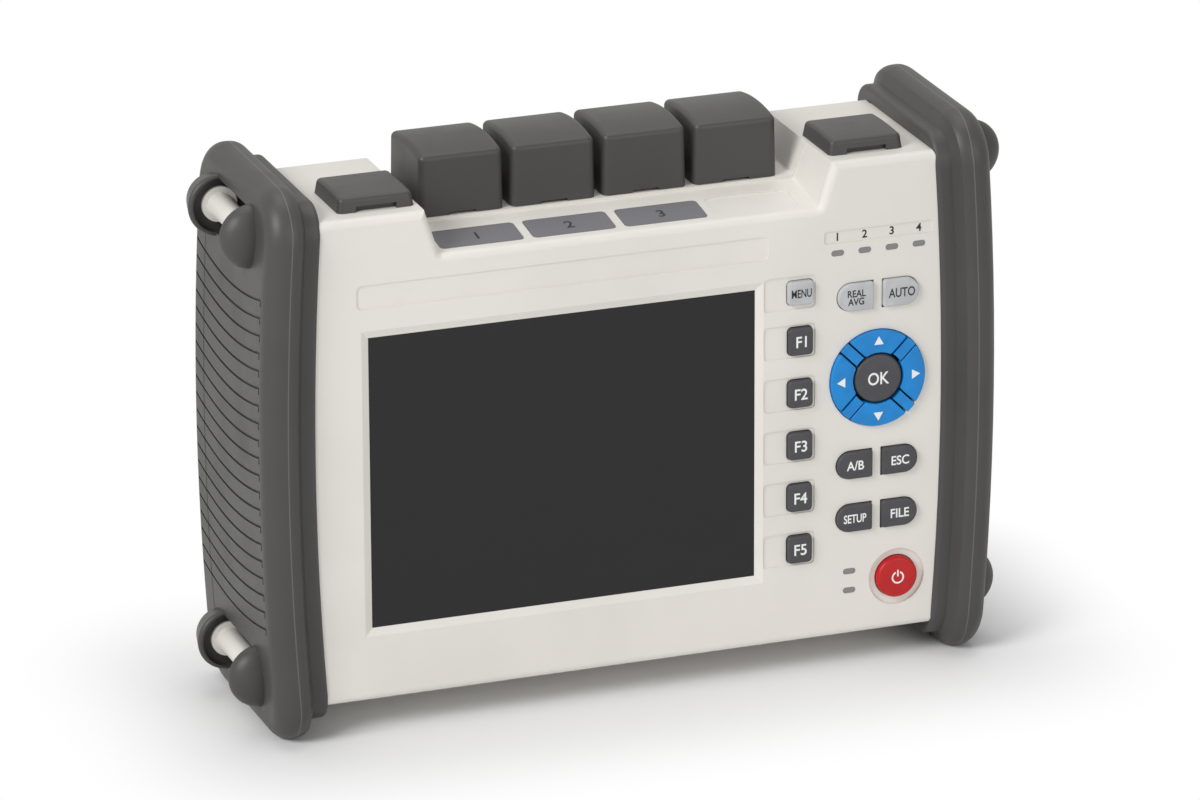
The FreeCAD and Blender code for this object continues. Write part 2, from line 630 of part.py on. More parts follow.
def build_front_shell():
    body = new_body("front_shell")
    ends = new_sketch(body, "YZ_Plane", behind("end_depth / 2"), CASE_MIDDLE)
    draw_rectangle(ends, "end_depth", CASE_TALL)
    extrude("Pad", ends, "2 * case_half", both=True)
    middle = new_sketch(body, "YZ_Plane", behind("split_depth / 2"), CASE_MIDDLE)
    draw_rectangle(middle, "split_depth", CASE_TALL)
    extrude("Pad", middle, "2 * body_half", both=True)
    # the bay: a sloped stretch over the labels, then a level one under the caps
    lip = facing(body, "0", "0", "0")
    draw_bay(lip, "bay_lip")
    rise = facing(body, "0", "0", "bay_step")
    draw_bay(rise, "bay_floor - bay_drop")
    loft("SubtractiveLoft", lip, rise)
    level = facing(body, "0", "0", "bay_step")
    draw_bay(level, "bay_floor")
    cut_back(level, "split_depth - bay_step + 1")
    panel_face = -size("panel_front")
    sides = size("case_half")
    dress("Fillet", body, edges_of(body, lambda edge: lies_at(edge, 1, panel_face)
                                   and not (lies_at(edge, 0, sides) or lies_at(edge, 0, -sides))),
          "edge_round")
    # the hollow inside
    opening = facing(body, "0", "(%s + %s) / 2" % (CAVITY_LOW, CAVITY_HIGH), "split_depth")
    draw_rectangle(opening, "2 * (body_half - wall)", "%s - (%s)" % (CAVITY_HIGH, CAVITY_LOW))
    extrude("Pocket", opening, "split_depth - wall", reverse=True)
    inside = new_sketch(body, "YZ_Plane", behind("end_depth / 2"), "(%s + %s) / 2" % (CAVITY_LOW, CAVITY_HIGH))
    draw_rectangle(inside, "end_depth - 2 * wall", "%s - (%s)" % (CAVITY_HIGH, CAVITY_LOW))
    extrude("Pocket", inside, "2 * (case_half - wall)", both=True)
    rooms = flat(body, "0", "end_depth / 2", CAVITY_HIGH + " - 1")
    for side in ("", "-"):
        draw_rectangle(rooms, "case_half - bay_half_high - 2 * wall", "end_depth - 2 * wall",
                       (side + "(case_half + bay_half_high) / 2", "0"))
    extrude("Pocket", rooms, "case_high - wall - (%s) + 1" % CAVITY_HIGH, reverse=True)
    # display opening with its sloped rim, and the rebate that the window sits in
    rim = facing(body, VIEW_ACROSS, VIEW_UP, "0")
    draw_rectangle(rim, "view_wide + 2 * bezel_wide", "view_high + 2 * bezel_wide")
    rim_foot = facing(body, VIEW_ACROSS, VIEW_UP, "bezel_deep")
    draw_rectangle(rim_foot, "view_wide", "view_high")
    loft("SubtractiveLoft", rim, rim_foot)
    through = facing(body, VIEW_ACROSS, VIEW_UP, "0")
    draw_rectangle(through, "view_wide", "view_high")
    cut_back(through, "wall")
    rebate = facing(body, VIEW_ACROSS, VIEW_UP, "wall")
    draw_rectangle(rebate, "view_wide + 2 * window_lap", "view_high + 2 * window_lap")
    extrude("Pocket", rebate, "window_thick", reverse=True)
    # shallow bands beside the display, name strip and indicator strip
    for rows in by_threes(KEYS[:6]):
        bands = facing(body, "0", "0", "0")
        for _, form, across, up, wide, high in rows:
            draw_rounded(bands, BAND_RIGHT + " - " + BAND_LEFT, "band_high", "key_round",
                         ("(%s + %s) / 2" % (BAND_RIGHT, BAND_LEFT), up))
        cut_back(bands, "band_deep")
    strips = facing(body, "0", "0", "0")
    draw_rounded(strips, "plate_wide", "plate_high", "plate_round", ("plate_wide / 2 - plate_left", "plate_row"))
    draw_rounded(strips, "lamp_strip_wide", "lamp_strip_high", "strip_round",
                 ("lamp_first + 1.5 * lamp_pitch", "lamp_strip_row"))
    cut_back(strips, "band_deep")
    dish = facing(body, "power_column", "power_row", "0")
    draw_circle(dish, "dish_radius")
    cut_back(dish, "dish_deep")
    # holes for keys, navigation ring and indicators
    for keys in by_threes(KEYS):
        holes = facing(body, "0", "0", "0")
        for _, form, across, up, wide, high in keys:
            key_outline(holes, form, wide, high, "gap", (across, up))
        cut_back(holes, "wall")
    for spots in by_threes(LAMPS):
        slots = facing(body, "0", "0", "0")
        for spot in spots:
            draw_rounded(slots, "lamp_wide", "lamp_high", "lamp_high / 2.1", spot)
        cut_back(slots, "wall")
    ring = facing(body, "pair_column", "ring_row", "0")
    draw_circle(ring, "ring_radius + gap")
    cut_back(ring, "wall")
    # seats of the port labels on the slope, and the fourth that stays bare
    for places in (CAP_PLACES[:2], CAP_PLACES[2:]):
        seats = new_sketch(body, "XY_Plane")
        tilt_onto_slope(seats)
        for across in places:
            draw_rounded(seats, "label_wide + nest", "label_long + nest", "label_round + nest / 2", (across, "0"))
        extrude("Pocket", seats, "label_thick")
    # holes for the optical adapters and the side ports
    tails = flat(body, "0", "adapter_depth", "bay_floor")
    for across in CAP_PLACES:
        draw_circle(tails, "adapter_tail + hair", (across, "0"))
    extrude("Pocket", tails, "bay_floor - (%s) + 1" % CAVITY_HIGH)
    sockets = flat(body, "0", "0", "case_high")
    for port in (LAN, USB):
        draw_rectangle(sockets, port["wide"] + " + gap", port["long"] + " + gap", (port["across"], port["depth"]))
    draw_circle(sockets, DC_RADIUS + " + gap", ("-lid_centre", DC_DEPTH))
    extrude("Pocket", sockets, "wall + 1")
    # screw bosses and posts
    add_round_row(body, SCREWS, "boss_radius", "wall", "split_depth - wall")
    bore_round_row(body, SCREWS, "screw_radius + hair", "split_depth", "screw_long")
    add_round_row(body, PAD_POSTS, "post_radius", "wall", "pad_depth - wall")
    return body


def tilt_onto_slope(sketch):
    """Lays a sketch on the sloped floor over the labels."""
    angle = "atan(%s)" % LABEL_SLOPE
    sketch.AttachmentOffset = FreeCAD.Placement(V(), FreeCAD.Rotation(V(1, 0, 0), 8))
    bind(sketch, "AttachmentOffset.Rotation.Angle", angle)
    bind(sketch, "AttachmentOffset.Base.y", behind("label_first"))
    bind(sketch, "AttachmentOffset.Base.z", "bay_lip + label_first * " + LABEL_SLOPE)


front_shell = build_front_shell()


# ---------------------------------------------------------------- display
def build_display():
    window = block("display_window", VIEW_ACROSS, "wall - window_thick", VIEW_UP + " - (view_high / 2 + window_lap - gap)",
                   "view_wide + 2 * (window_lap - gap)", "window_thick", "view_high + 2 * (window_lap - gap)")
    rim = "view_wide + 2 * window_lap + 2"
    rise = "view_high + 2 * window_lap + 2"
    frame = block("gasket_frame", VIEW_ACROSS, "wall", VIEW_UP + " - (%s) / 2" % rise, rim, "gasket_thick", rise)
    inner = block("gasket_opening", VIEW_ACROSS, "wall", VIEW_UP + " - view_high / 2",
                  "view_wide", "gasket_thick", "view_high")
    gasket = cut("display_gasket", frame, inner)
    lcd = block("lcd_module", VIEW_ACROSS, "wall + gasket_thick", VIEW_UP + " - (%s) / 2" % rise,
                rim, "lcd_thick", rise)
    return [window, gasket, lcd]


# ---------------------------------------------------------------- keys
def build_key(label, form, across, up, wide, high):
    """A key cap with the flange that keeps it behind the panel."""
    body = new_body(label)
    cap = facing(body, across, up, "-key_proud")
    key_outline(cap, form, wide, high)
    pad_back(cap, "key_proud + wall")
    face = -size("panel_front") - size("key_proud")
    dress("Fillet", body, edges_of(body, lambda edge: lies_at(edge, 1, face)), "key_edge")
    flange = facing(body, across, up, "wall")
    key_outline(flange, form, wide, high, "key_lap")
    pad_back(flange, "key_flange")
    return body


def ring_rod(label, radius, depth="-key_proud", long="key_proud + wall + key_flange"):
    """A round disc on the axis of the navigation ring."""
    return rod(label, "pair_column", depth, "ring_row", radius, long)


def turned_box(label, push_across, push_up, turn, wide, high):
    """A box square to the ring's diagonals, its corner pushed away from the ring's centre."""
    box = doc.addObject("Part::Box", label)
    bind(box, "Length", wide)
    bind(box, "Width", "key_proud + wall + key_flange")
    bind(box, "Height", high)
    place(box, "pair_column + " + push_across, "-key_proud", "ring_row + " + push_up,
          FreeCAD.Rotation(V(0, 1, 0), turn))
    return box


CORNER_PUSH = "(bar_half + ring_gap) * sqrt(2)"
ARROWS = (("up_key", "0", CORNER_PUSH, -45), ("right_key", CORNER_PUSH, "0", 45),
          ("down_key", "0", "-" + CORNER_PUSH, 135), ("left_key", "-" + CORNER_PUSH, "0", -135))


def build_navigation():
    """Four arrow keys, the centre key and the fixed frame whose bars part them."""
    inner = "enter_radius + ring_gap"
    keys = []
    for label, push_across, push_up, turn in ARROWS:
        rim = ring_rod(label + "_rim", "ring_radius")
        foot = ring_rod(label + "_foot", "ring_radius + key_lap", "wall", "key_flange")
        eye = ring_rod(label + "_eye", inner)
        ring = cut(label + "_ring", joined(label + "_disc", [rim, foot]), eye)
        wedge = turned_box(label + "_wedge", push_across, push_up, turn, "2 * ring_radius", "2 * ring_radius")
        keys.append(common(label, ring, wedge))
    enter = rod("enter_key", "pair_column", "-key_proud", "ring_row", "enter_radius", "key_proud + wall + key_flange")
    keys.append(enter)
    bars = []
    for label, turn in (("rising_bar", -45), ("falling_bar", 45)):
        slope = 1 if turn < 0 else -1
        long = "2 * (ring_radius + key_lap + 2.5)"
        shift_across = "-((%s) / 2 %s bar_half) / sqrt(2)" % (long, "-" if slope > 0 else "+")
        shift_up = "-(%d * (%s) / 2 + bar_half) / sqrt(2)" % (slope, long)
        bars.append(turned_box(label, shift_across, shift_up, turn, long, "2 * bar_half"))
    cross = joined("ring_cross", bars)
    bounds = joined("ring_bounds", [ring_rod("ring_front", "ring_radius"),
                                    ring_rod("ring_back", "ring_radius + key_lap + 2", "wall", "key_flange")])
    spokes = common("ring_spokes", cross, bounds)
    hoop = cut("ring_hoop", ring_rod("hoop_outside", "ring_radius + key_lap + 2", "wall", "key_flange"),
               ring_rod("hoop_inside", "ring_radius + key_lap + gap", "wall", "key_flange"))
    frame = cut("ring_frame", joined("ring_body", [spokes, hoop]), ring_rod("ring_frame_eye", inner + " + 0.4"))
    return keys + [frame]


def build_indicators():
    """Light pipes that fill the indicator slots and reach the key board."""
    pipes = []
    for number, (across, up) in enumerate(LAMPS):
        body = new_body("light_pipe_%d" % (number + 1))
        pipe = facing(body, across, up, "hair")
        draw_rounded(pipe, "lamp_wide - 2 * hair", "lamp_high - 2 * hair", "lamp_high / 2.1 - hair")
        pad_back(pipe, "pad_depth - hair")
        pipes.append(body)
    return grouped("indicator_windows", pipes)


def build_key_board():
    """The circuit board behind the keys, with a rubber dome under each."""
    board = block("key_board_sheet", "(soft_column + 92.6) / 2 - 1", "pad_depth", "power_row - 2",
                  "92.6 - soft_column + 13", "board_thick", "lamp_row - power_row + 3.2")
    spots = [(across, up) for _, _, across, up, _, _ in KEYS] + [("pair_column", "ring_row")]
    reach = "(ring_radius + enter_radius) / 2"
    for across, up in ((1, 0), (-1, 0), (0, 1), (0, -1)):
        spots.append(("pair_column + %d * %s" % (across, reach), "ring_row + %d * %s" % (up, reach)))
    domes = []
    for number, (across, up) in enumerate(spots):
        domes.append(rod("dome_%d" % (number + 1), across, "pad_depth - dome_high", up, "2.2", "dome_high"))
    return joined("key_board", [board] + domes)


# ---------------------------------------------------------------- port covers
def build_port_label(number, across):
    body = new_body("label_plate_%d" % number)
    plate = new_sketch(body, "XY_Plane")
    tilt_onto_slope(plate)
    draw_rounded(plate, "label_wide", "label_long", "label_round", (across, "0"))
    extrude("Pad", plate, "label_thick", reverse=True)
    return body


def crown_line(body, base, high, crown, front, long):
    """Cuts the top to a shallow arch, seen from the side."""
    sketch = profile(body)
    top, rise = size(base) + size(high), size(crown)
    start, length = size(front), size(long)
    radius = (length * length / 4 + rise * rise) / (2 * rise)
    half = math.asin(length / 2 / radius)
    circle = Part.Circle(V(start + length / 2, top - radius, 0), V(0, 0, 1), radius)
    arch = sketch.addGeometry(Part.ArcOfCircle(circle, math.pi / 2 - half, math.pi / 2 + half))
    low = top - rise
    right = line(sketch, (start + length, low), (start + length, top + 2))
    over = line(sketch, (start + length, top + 2), (start, top + 2))
    left = line(sketch, (start, top + 2), (start, low))
    relate(sketch, "Coincident", arch, 1, right, 1)
    relate(sketch, "Coincident", right, 2, over, 1)
    relate(sketch, "Coincident", over, 2, left, 1)
    relate(sketch, "Coincident", left, 2, arch, 2)
    relate(sketch, "Vertical", right)
    relate(sketch, "Vertical", left)
    relate(sketch, "Horizontal", over)
    measure(sketch, "DistanceX", (-1, 1, left, 1), front)
    measure(sketch, "DistanceX", (over, 2, over, 1), long)
    measure(sketch, "DistanceY", (-1, 1, left, 2), "%s + %s - %s" % (base, high, crown))
    measure(sketch, "DistanceY", (-1, 1, right, 1), "%s + %s - %s" % (base, high, crown))
    measure(sketch, "DistanceY", (-1, 1, over, 1), "%s + %s + 2" % (base, high))
    measure(sketch, "Radius", (arch,), "(%s * %s / 4 + %s * %s) / (2 * %s)" % (long, long, crown, crown, crown))
    return extrude("Pocket", sketch, "300", both=True, refine=True)


def build_cover(label, across, kind, base, round_edge):
    """A hollow rubber cover with drafted walls, a crowned top, a finger notch and a rear fold."""
    wide, long, high, front = ("%s_%s" % (kind, word) for word in ("wide", "long", "high", "front"))
    draft, crown, skin = ("%s_%s" % (kind, word) for word in ("draft", "crown", "wall"))
    middle = "%s + %s / 2" % (front, long)
    body = new_body(label)
    foot = flat(body, across, middle, base)
    draw_rounded(foot, wide, long, round_edge)
    head = flat(body, across, middle, "%s + %s" % (base, high))
    draw_rounded(head, "%s - 2 * %s" % (wide, draft), "%s - 2 * %s" % (long, draft), round_edge)
    loft("AdditiveLoft", foot, head)
    crown_line(body, base, high, crown, front, long)
    level = size(base) + 0.6 * size(high)
    dress("Fillet", body, edges_of(body, lambda edge: edge.BoundBox.ZMin > level), round_edge + " * 0.8")
    mouth = flat(body, across, middle, base)
    draw_rectangle(mouth, "%s - 2 * %s" % (wide, skin), "%s - 2 * %s" % (long, skin))
    ceiling = flat(body, across, middle, "%s + %s - %s - %s" % (base, high, crown, skin))
    shrunk = "%s - 2 * %s - 2 * %s"
    draw_rectangle(ceiling, shrunk % (wide, skin, draft), shrunk % (long, skin, draft))
    loft("SubtractiveLoft", mouth, ceiling)
    notch_wide, notch_high = ("%s_notch_%s" % (kind, word) for word in ("wide", "high"))
    notch = facing(body, across, base, front + " - 1")
    draw_rectangle(notch, notch_wide, "2 * " + notch_high)
    cut_back(notch, skin + " + 1")
    fold = new_sketch(body, "YZ_Plane", behind("%s + %s + fold_radius - nest" % (front, long)),
                      base + " + fold_radius + hair", across)
    draw_circle(fold, "fold_radius")
    extrude("Pad", fold, "fold_wide", both=True)
    return body


def build_covers():
    pieces = []
    tabs = []
    for number, across in enumerate(CAP_PLACES, start=1):
        pieces.append(build_cover("port_cap_%d" % number, across, "cap", "bay_floor", "cap_round"))
        tabs.append(block("cap_tab_%d" % number, across, "cap_front + cap_long + 2 * fold_radius", "bay_floor",
                          "fold_wide", "split_depth - cap_front - cap_long - 2 * fold_radius - gap", "tab_high"))
    pieces.append(grouped("port_cap_tabs", tabs))
    tabs = []
    for name, side in (("left", "-"), ("right", "")):
        across = side + "lid_centre"
        pieces.append(build_cover(name + "_side_cap", across, "lid", "case_high", "lid_round"))
        tabs.append(block("lid_tab_" + name, across, "lid_front + lid_long + 2 * fold_radius", "case_high",
                          "fold_wide * 0.8", "3", "tab_high"))
    pieces.append(grouped("side_cap_tabs", tabs))
    return pieces


# ---------------------------------------------------------------- ports
def build_adapter(number, across):
    """An optical adapter: square flange on the bay floor, round barrel and a ferrule bore."""
    label = "optical_adapter_%d" % number
    flange = block(label + "_flange", across, "adapter_depth - adapter_flange / 2", "bay_floor",
                   "adapter_flange", "adapter_flange", "1.6")
    upright = FreeCAD.Rotation()
    barrel = rod(label + "_barrel", across, "adapter_depth", "bay_floor", "adapter_radius", "adapter_high", upright)
    tail = rod(label + "_tail", across, "adapter_depth", "bay_floor - 7", "adapter_tail", "7", upright)
    bore = rod(label + "_bore", across, "adapter_depth", "bay_floor + adapter_high - ferrule_deep",
               "ferrule_radius", "ferrule_deep", upright)
    ring = cut(label + "_moat", rod(label + "_moat_out", across, "adapter_depth",
                                    "bay_floor + adapter_high - moat_deep", "adapter_radius - 0.8", "moat_deep", upright),
               rod(label + "_moat_in", across, "adapter_depth", "bay_floor + adapter_high - moat_deep",
                   "ferrule_radius + 0.8", "moat_deep", upright))
    return cut(label, cut(label + "_drilled", joined(label + "_blank", [flange, barrel, tail]), bore), ring)


def build_ports():
    upright = FreeCAD.Rotation()
    pieces = [build_adapter(number, across) for number, across in enumerate(CAP_PLACES, start=1)]
    shell = block("lan_shell", LAN["across"], "%s - %s / 2" % (LAN["depth"], LAN["long"]),
                  "case_high - " + LAN["deep"], LAN["wide"], LAN["long"], LAN["deep"])
    room = block("lan_room", LAN["across"], LAN["depth"] + " - 3.6", "case_high - 12", "11.8", "7.2", "12")
    latch = block("lan_latch", LAN["across"], LAN["depth"] + " + 3.6", "case_high - 12", "6", "1.6", "12")
    pieces.append(cut("lan_port", shell, joined("lan_cavity", [room, latch])))
    shell = block("usb_shell", USB["across"], "%s - %s / 2" % (USB["depth"], USB["long"]),
                  "case_high - " + USB["deep"], USB["wide"], USB["long"], USB["deep"])
    room = block("usb_room", USB["across"], USB["depth"] + " - 2.6", "case_high - 10", "12.8", "5.2", "10")
    tongue = block("usb_tongue", USB["across"], USB["depth"] + " - 2.6", "case_high - 10", "11.4", "1.9", "9")
    pieces.append(joined("usb_port", [cut("usb_socket", shell, room), tongue]))
    barrel = rod("dc_barrel", "-lid_centre", DC_DEPTH, "case_high - 11", DC_RADIUS, "11", upright)
    bore = rod("dc_bore", "-lid_centre", DC_DEPTH, "case_high - 9", "2.75", "9", upright)
    pin = rod("dc_pin", "-lid_centre", DC_DEPTH, "case_high - 9", "1.05", "8.4", upright)
    pieces.append(joined("power_jack", [cut("dc_socket", barrel, bore), pin]))
    return pieces


# ---------------------------------------------------------------- side boots
def boot_path():
    """The closed line that a boot's section follows: straight top and bottom, bowed front and rear."""
    half, bow, bend = size("boot_path_half"), size("boot_bow"), size("boot_corner")
    radius = (half * half + bow * bow) / (2 * bow)
    centre = V(size("boot_crest") - radius, 0, size("boot_middle"))
    front = size("boot_path_front") - size("panel_front")
    rear = size("boot_path_rear") - size("panel_front")
    reach = math.asin((half - bend) / radius)

    def on_side(angle, depth):
        return centre + V(radius * math.cos(angle), depth, radius * math.sin(angle))

    def corner(start, heading, turning):
        middle = start + turning * (bend * (1 - math.sqrt(0.5))) + heading * (bend * math.sqrt(0.5))
        return Part.Arc(start, middle, start + turning * bend + heading * bend).toShape()

    def straight(start, end):
        return Part.LineSegment(start, end).toShape()

    up = V(-math.sin(reach), 0, math.cos(reach))
    down = V(-math.sin(reach), 0, -math.cos(reach))
    back = V(0, 1, 0)
    front_top, front_low = on_side(reach, front), on_side(-reach, front)
    rear_top, rear_low = on_side(reach, rear), on_side(-reach, rear)
    start = on_side(0, front)
    over, under = up * bend, down * bend
    edges = [
        Part.Arc(start, on_side(reach / 2, front), front_top).toShape(),
        corner(front_top, up, back),
        straight(front_top + over + back * bend, rear_top + over - back * bend),
        corner(rear_top + over - back * bend, back, up * -1),
        Part.Arc(rear_top, on_side(0, rear), rear_low).toShape(),
        corner(rear_low, down, back * -1),
        straight(rear_low + under - back * bend, front_low + under + back * bend),
        corner(front_low + under + back * bend, back * -1, down * -1),
        Part.Arc(front_low, on_side(-reach / 2, front), start).toShape(),
    ]
    return Part.Wire(edges), start, radius


def boot_section(start):
    """The boot's moulded section: inner lip, shallow valley, round crest and rounded outer edge."""
    lip, rise, sunk = size("boot_lip"), size("boot_rise"), size("boot_sunk")
    inner = size("boot_inner") - size("boot_crest")
    outer = size("boot_outer") - size("boot_crest")

    def at(across, out):
        return start + V(across, -out, 0)

    lip_round = 1.4
    low_inside, low_outside = at(inner, -sunk), at(outer, -sunk)
    edge = at(inner, lip - lip_round)
    lip_top = at(inner + lip_round, lip)
    valley = at(inner + 0.47 * -inner, lip - 0.2)
    flank = at(inner * 0.33, rise - 1.1)
    crest = at(0, rise)
    edge_round = size("boot_edge")
    knee, brow = at(outer - edge_round, rise), at(outer, rise - edge_round)
    bend = edge_round * (1 - math.sqrt(0.5))
    sides = [
        Part.LineSegment(low_inside, edge).toShape(),
        Part.Arc(edge, at(inner + lip_round * 0.3, lip - lip_round * 0.3), lip_top).toShape(),
        Part.LineSegment(lip_top, valley).toShape(),
        Part.Arc(valley, at(inner * 0.44, lip + 1.2), flank).toShape(),
        Part.Arc(flank, at(inner * 0.17, rise - 0.25), crest).toShape(),
        Part.LineSegment(crest, knee).toShape(),
        Part.Arc(knee, at(outer - bend, rise - bend), brow).toShape(),
        Part.LineSegment(brow, low_outside).toShape(),
        Part.LineSegment(low_outside, low_inside).toShape(),
    ]
    return Part.Wire(sides)


def case_end(clearance):
    """The end of the case that a boot is pulled over, grown by a clearance."""
    depth = size("end_depth") + 2 * clearance
    tall = size("case_high") - size("case_low") + 2 * clearance
    long = size("case_half") + clearance
    end = Part.makeBox(long, depth, tall,
                       V(0, -size("panel_front") - clearance, size("case_low") - clearance))
    face = end.BoundBox.YMin
    fronts = [edge for edge in end.Edges if lies_at(edge, 1, face) and runs_along(edge, V(1, 0, 0))]
    return end.makeFillet(size("edge_round") + clearance, fronts)


def groove(height, front, rear):
    """One sagging groove of the outer face, with the hook at its front end."""
    wide, sag, hook = size("rib_wide"), size("rib_sag"), size("rib_hook")
    long = rear - front
    radius = (long * long / 4 + sag * sag) / (2 * sag)
    centre = V(0, (front + rear) / 2, height - sag + radius)
    half = math.asin(long / 2 / radius)

    def at(reach, angle):
        return centre + V(0, reach * math.sin(angle), -reach * math.cos(angle))

    outer, inner = radius + wide, radius
    corners = [at(inner, -half), at(inner, half), at(outer, half), at(outer, -half)]
    hook_end = corners[0] + V(0, 0, -hook)
    edges = [
        Part.Arc(corners[0], at(inner, 0), corners[1]).toShape(),
        Part.LineSegment(corners[1], corners[2]).toShape(),
        Part.Arc(corners[2], at(outer, 0), at(outer, -half + wide / radius)).toShape(),
        Part.LineSegment(at(outer, -half + wide / radius), hook_end + V(0, wide, 0)).toShape(),
        Part.LineSegment(hook_end + V(0, wide, 0), hook_end).toShape(),
        Part.LineSegment(hook_end, corners[0]).toShape(),
    ]
    return Part.Face(Part.Wire(edges)).extrude(V(size("boot_outer") + 5, 0, 0))


def strap_ears(height):
    """The two ears of a strap eye: a drafted disc behind, a domed one in front."""
    radius, thick = size("ear_radius"), size("ear_thick")
    across = size("ear_reach") - radius
    middle = size("strap_depth") - size("panel_front")
    rear_start = middle + size("strap_gap") / 2
    rear = Part.makeCone(radius, radius - size("ear_draft"), thick, V(across, rear_start, height), V(0, 1, 0))
    brim = [edge for edge in rear.Edges if isinstance(edge.Curve, Part.Circle)]
    rear = rear.makeFillet(1.2, brim)
    front_end = middle - size("strap_gap") / 2
    dome = Part.makeSphere(radius, V(0, 0, 0), V(0, -1, 0), 0, 90, 360)
    stretch = FreeCAD.Matrix()
    stretch.scale(1, size("ear_dome") / radius, 1)
    dome = dome.transformGeometry(stretch)
    dome.translate(V(across, front_end, height))
    return [rear, dome]


def build_left_and_right_boot():
    path, start, bow_radius = boot_path()
    sweep = Part.BRepOffsetAPI.MakePipeShell(path)
    sweep.setFrenetMode(False)
    sweep.add(boot_section(start), False, False)
    sweep.build()
    sweep.makeSolid()
    rim = sweep.shape()
    # the panel inside the rim, a little below the rim's outer face
    sunk, overlap = size("boot_sunk"), 0.2
    front = size("boot_path_front") - size("panel_front")
    deep = size("boot_path_rear") - size("boot_path_front")
    tall = 2 * size("boot_path_half")
    half_tall = size("boot_path_half")
    middle = size("boot_middle")
    face_radius = bow_radius + size("boot_outer") - size("boot_crest") - size("panel_sunk")
    axis = V(size("boot_crest") - bow_radius, front + overlap, middle)
    barrel = Part.makeCylinder(face_radius, deep - 2 * overlap, axis, V(0, 1, 0))
    inside = size("boot_inner") + overlap
    room = Part.makeBox(size("boot_outer") - inside + 4, deep, tall - 2 * overlap,
                        V(inside, front, middle - half_tall + overlap))
    boot = rim.fuse(barrel.common(room))
    scoop_radius = size("bar_radius") + size("scoop_deep")
    strap_front = size("strap_depth") - size("panel_front") - size("strap_gap") / 2
    for height in (size("strap_high"), size("strap_low")):
        boot = boot.fuse(strap_ears(height))
        seat = V(size("bar_centre"), strap_front, height)
        scoop_long = size("strap_gap") + size("cup_deep")
        boot = boot.cut(Part.makeCylinder(scoop_radius, scoop_long, seat, V(0, 1, 0)))
        bar_hole = seat - V(0, size("bar_seat"), 0)
        boot = boot.cut(Part.makeCylinder(size("bar_radius") + size("hair"),
                                          scoop_long + 2 * size("bar_seat"), bar_hole, V(0, 1, 0)))
    boot = boot.cut(case_end(size("hair")))
    floor_cut = Part.makeBox(300, 300, 20, V(-10, -150, -20))
    boot = boot.cut(floor_cut)
    ahead = axis - V(0, size("boot_rise"), 0)
    long = deep + 2 * size("boot_rise")
    skin = Part.makeCylinder(face_radius + 5, long, ahead, V(0, 1, 0))
    skin = skin.cut(Part.makeCylinder(face_radius - size("rib_deep"), long, ahead, V(0, 1, 0)))
    rib_front = size("rib_front") - size("panel_front")
    rib_rear = size("rib_rear") - size("panel_front")
    strips = [groove(size("rib_first") + i * size("rib_pitch"), rib_front, rib_rear)
              for i in range(int(size("rib_count")))]
    boot = boot.cut(Part.makeCompound(strips).common(skin))
    right = doc.addObject("Part::Feature", "right_boot")
    right.Shape = boot
    left = doc.addObject("Part::Mirroring", "left_boot")
    left.Source = right
    left.Normal = (1, 0, 0)
    return [left, right]


def build_strap_bars():
    bars = []
    for side_name, side in (("left", "-"), ("right", "")):
        for level, height in (("upper", "strap_high"), ("lower", "strap_low")):
            label = "%s_%s_strap_bar" % (side_name, level)
            start = "strap_depth - strap_gap / 2 - bar_seat"
            bar = rod(label + "_rod", side + "bar_centre", start, height, "bar_radius",
                      "strap_gap + cup_deep + 2 * bar_seat")
            collar = rod(label + "_collar", side + "bar_centre", "strap_depth + strap_gap / 2 + cup_deep - 1.2",
                         height, "bar_collar", "1.2")
            bars.append(joined(label, [bar, collar]))
    return bars


# ---------------------------------------------------------------- rear
BACK_MIDDLE = "(case_low + back_high) / 2"
BACK_TALL = "(back_high - case_low)"
DOOR_FACE = "back_depth - door_thick"
BATTERY_FRONT = "back_depth - door_thick - battery_thick - gap"
STAND_ROOM = "back_depth - stand_thick - stand_gap"
FEET = [("%d * foot_across" % side, row) for side in (-1, 1) for row in ("foot_low", "foot_top")]
DOOR_SCREWS = [("%d * (door_wide / 2 - 5)" % side, "door_row + %d * (door_high / 2 - 5)" % level)
               for side in (-1, 1) for level in (-1, 1)]
STAND_MIDDLE = "stand_hinge + stand_thick / 2 - stand_high / 2"


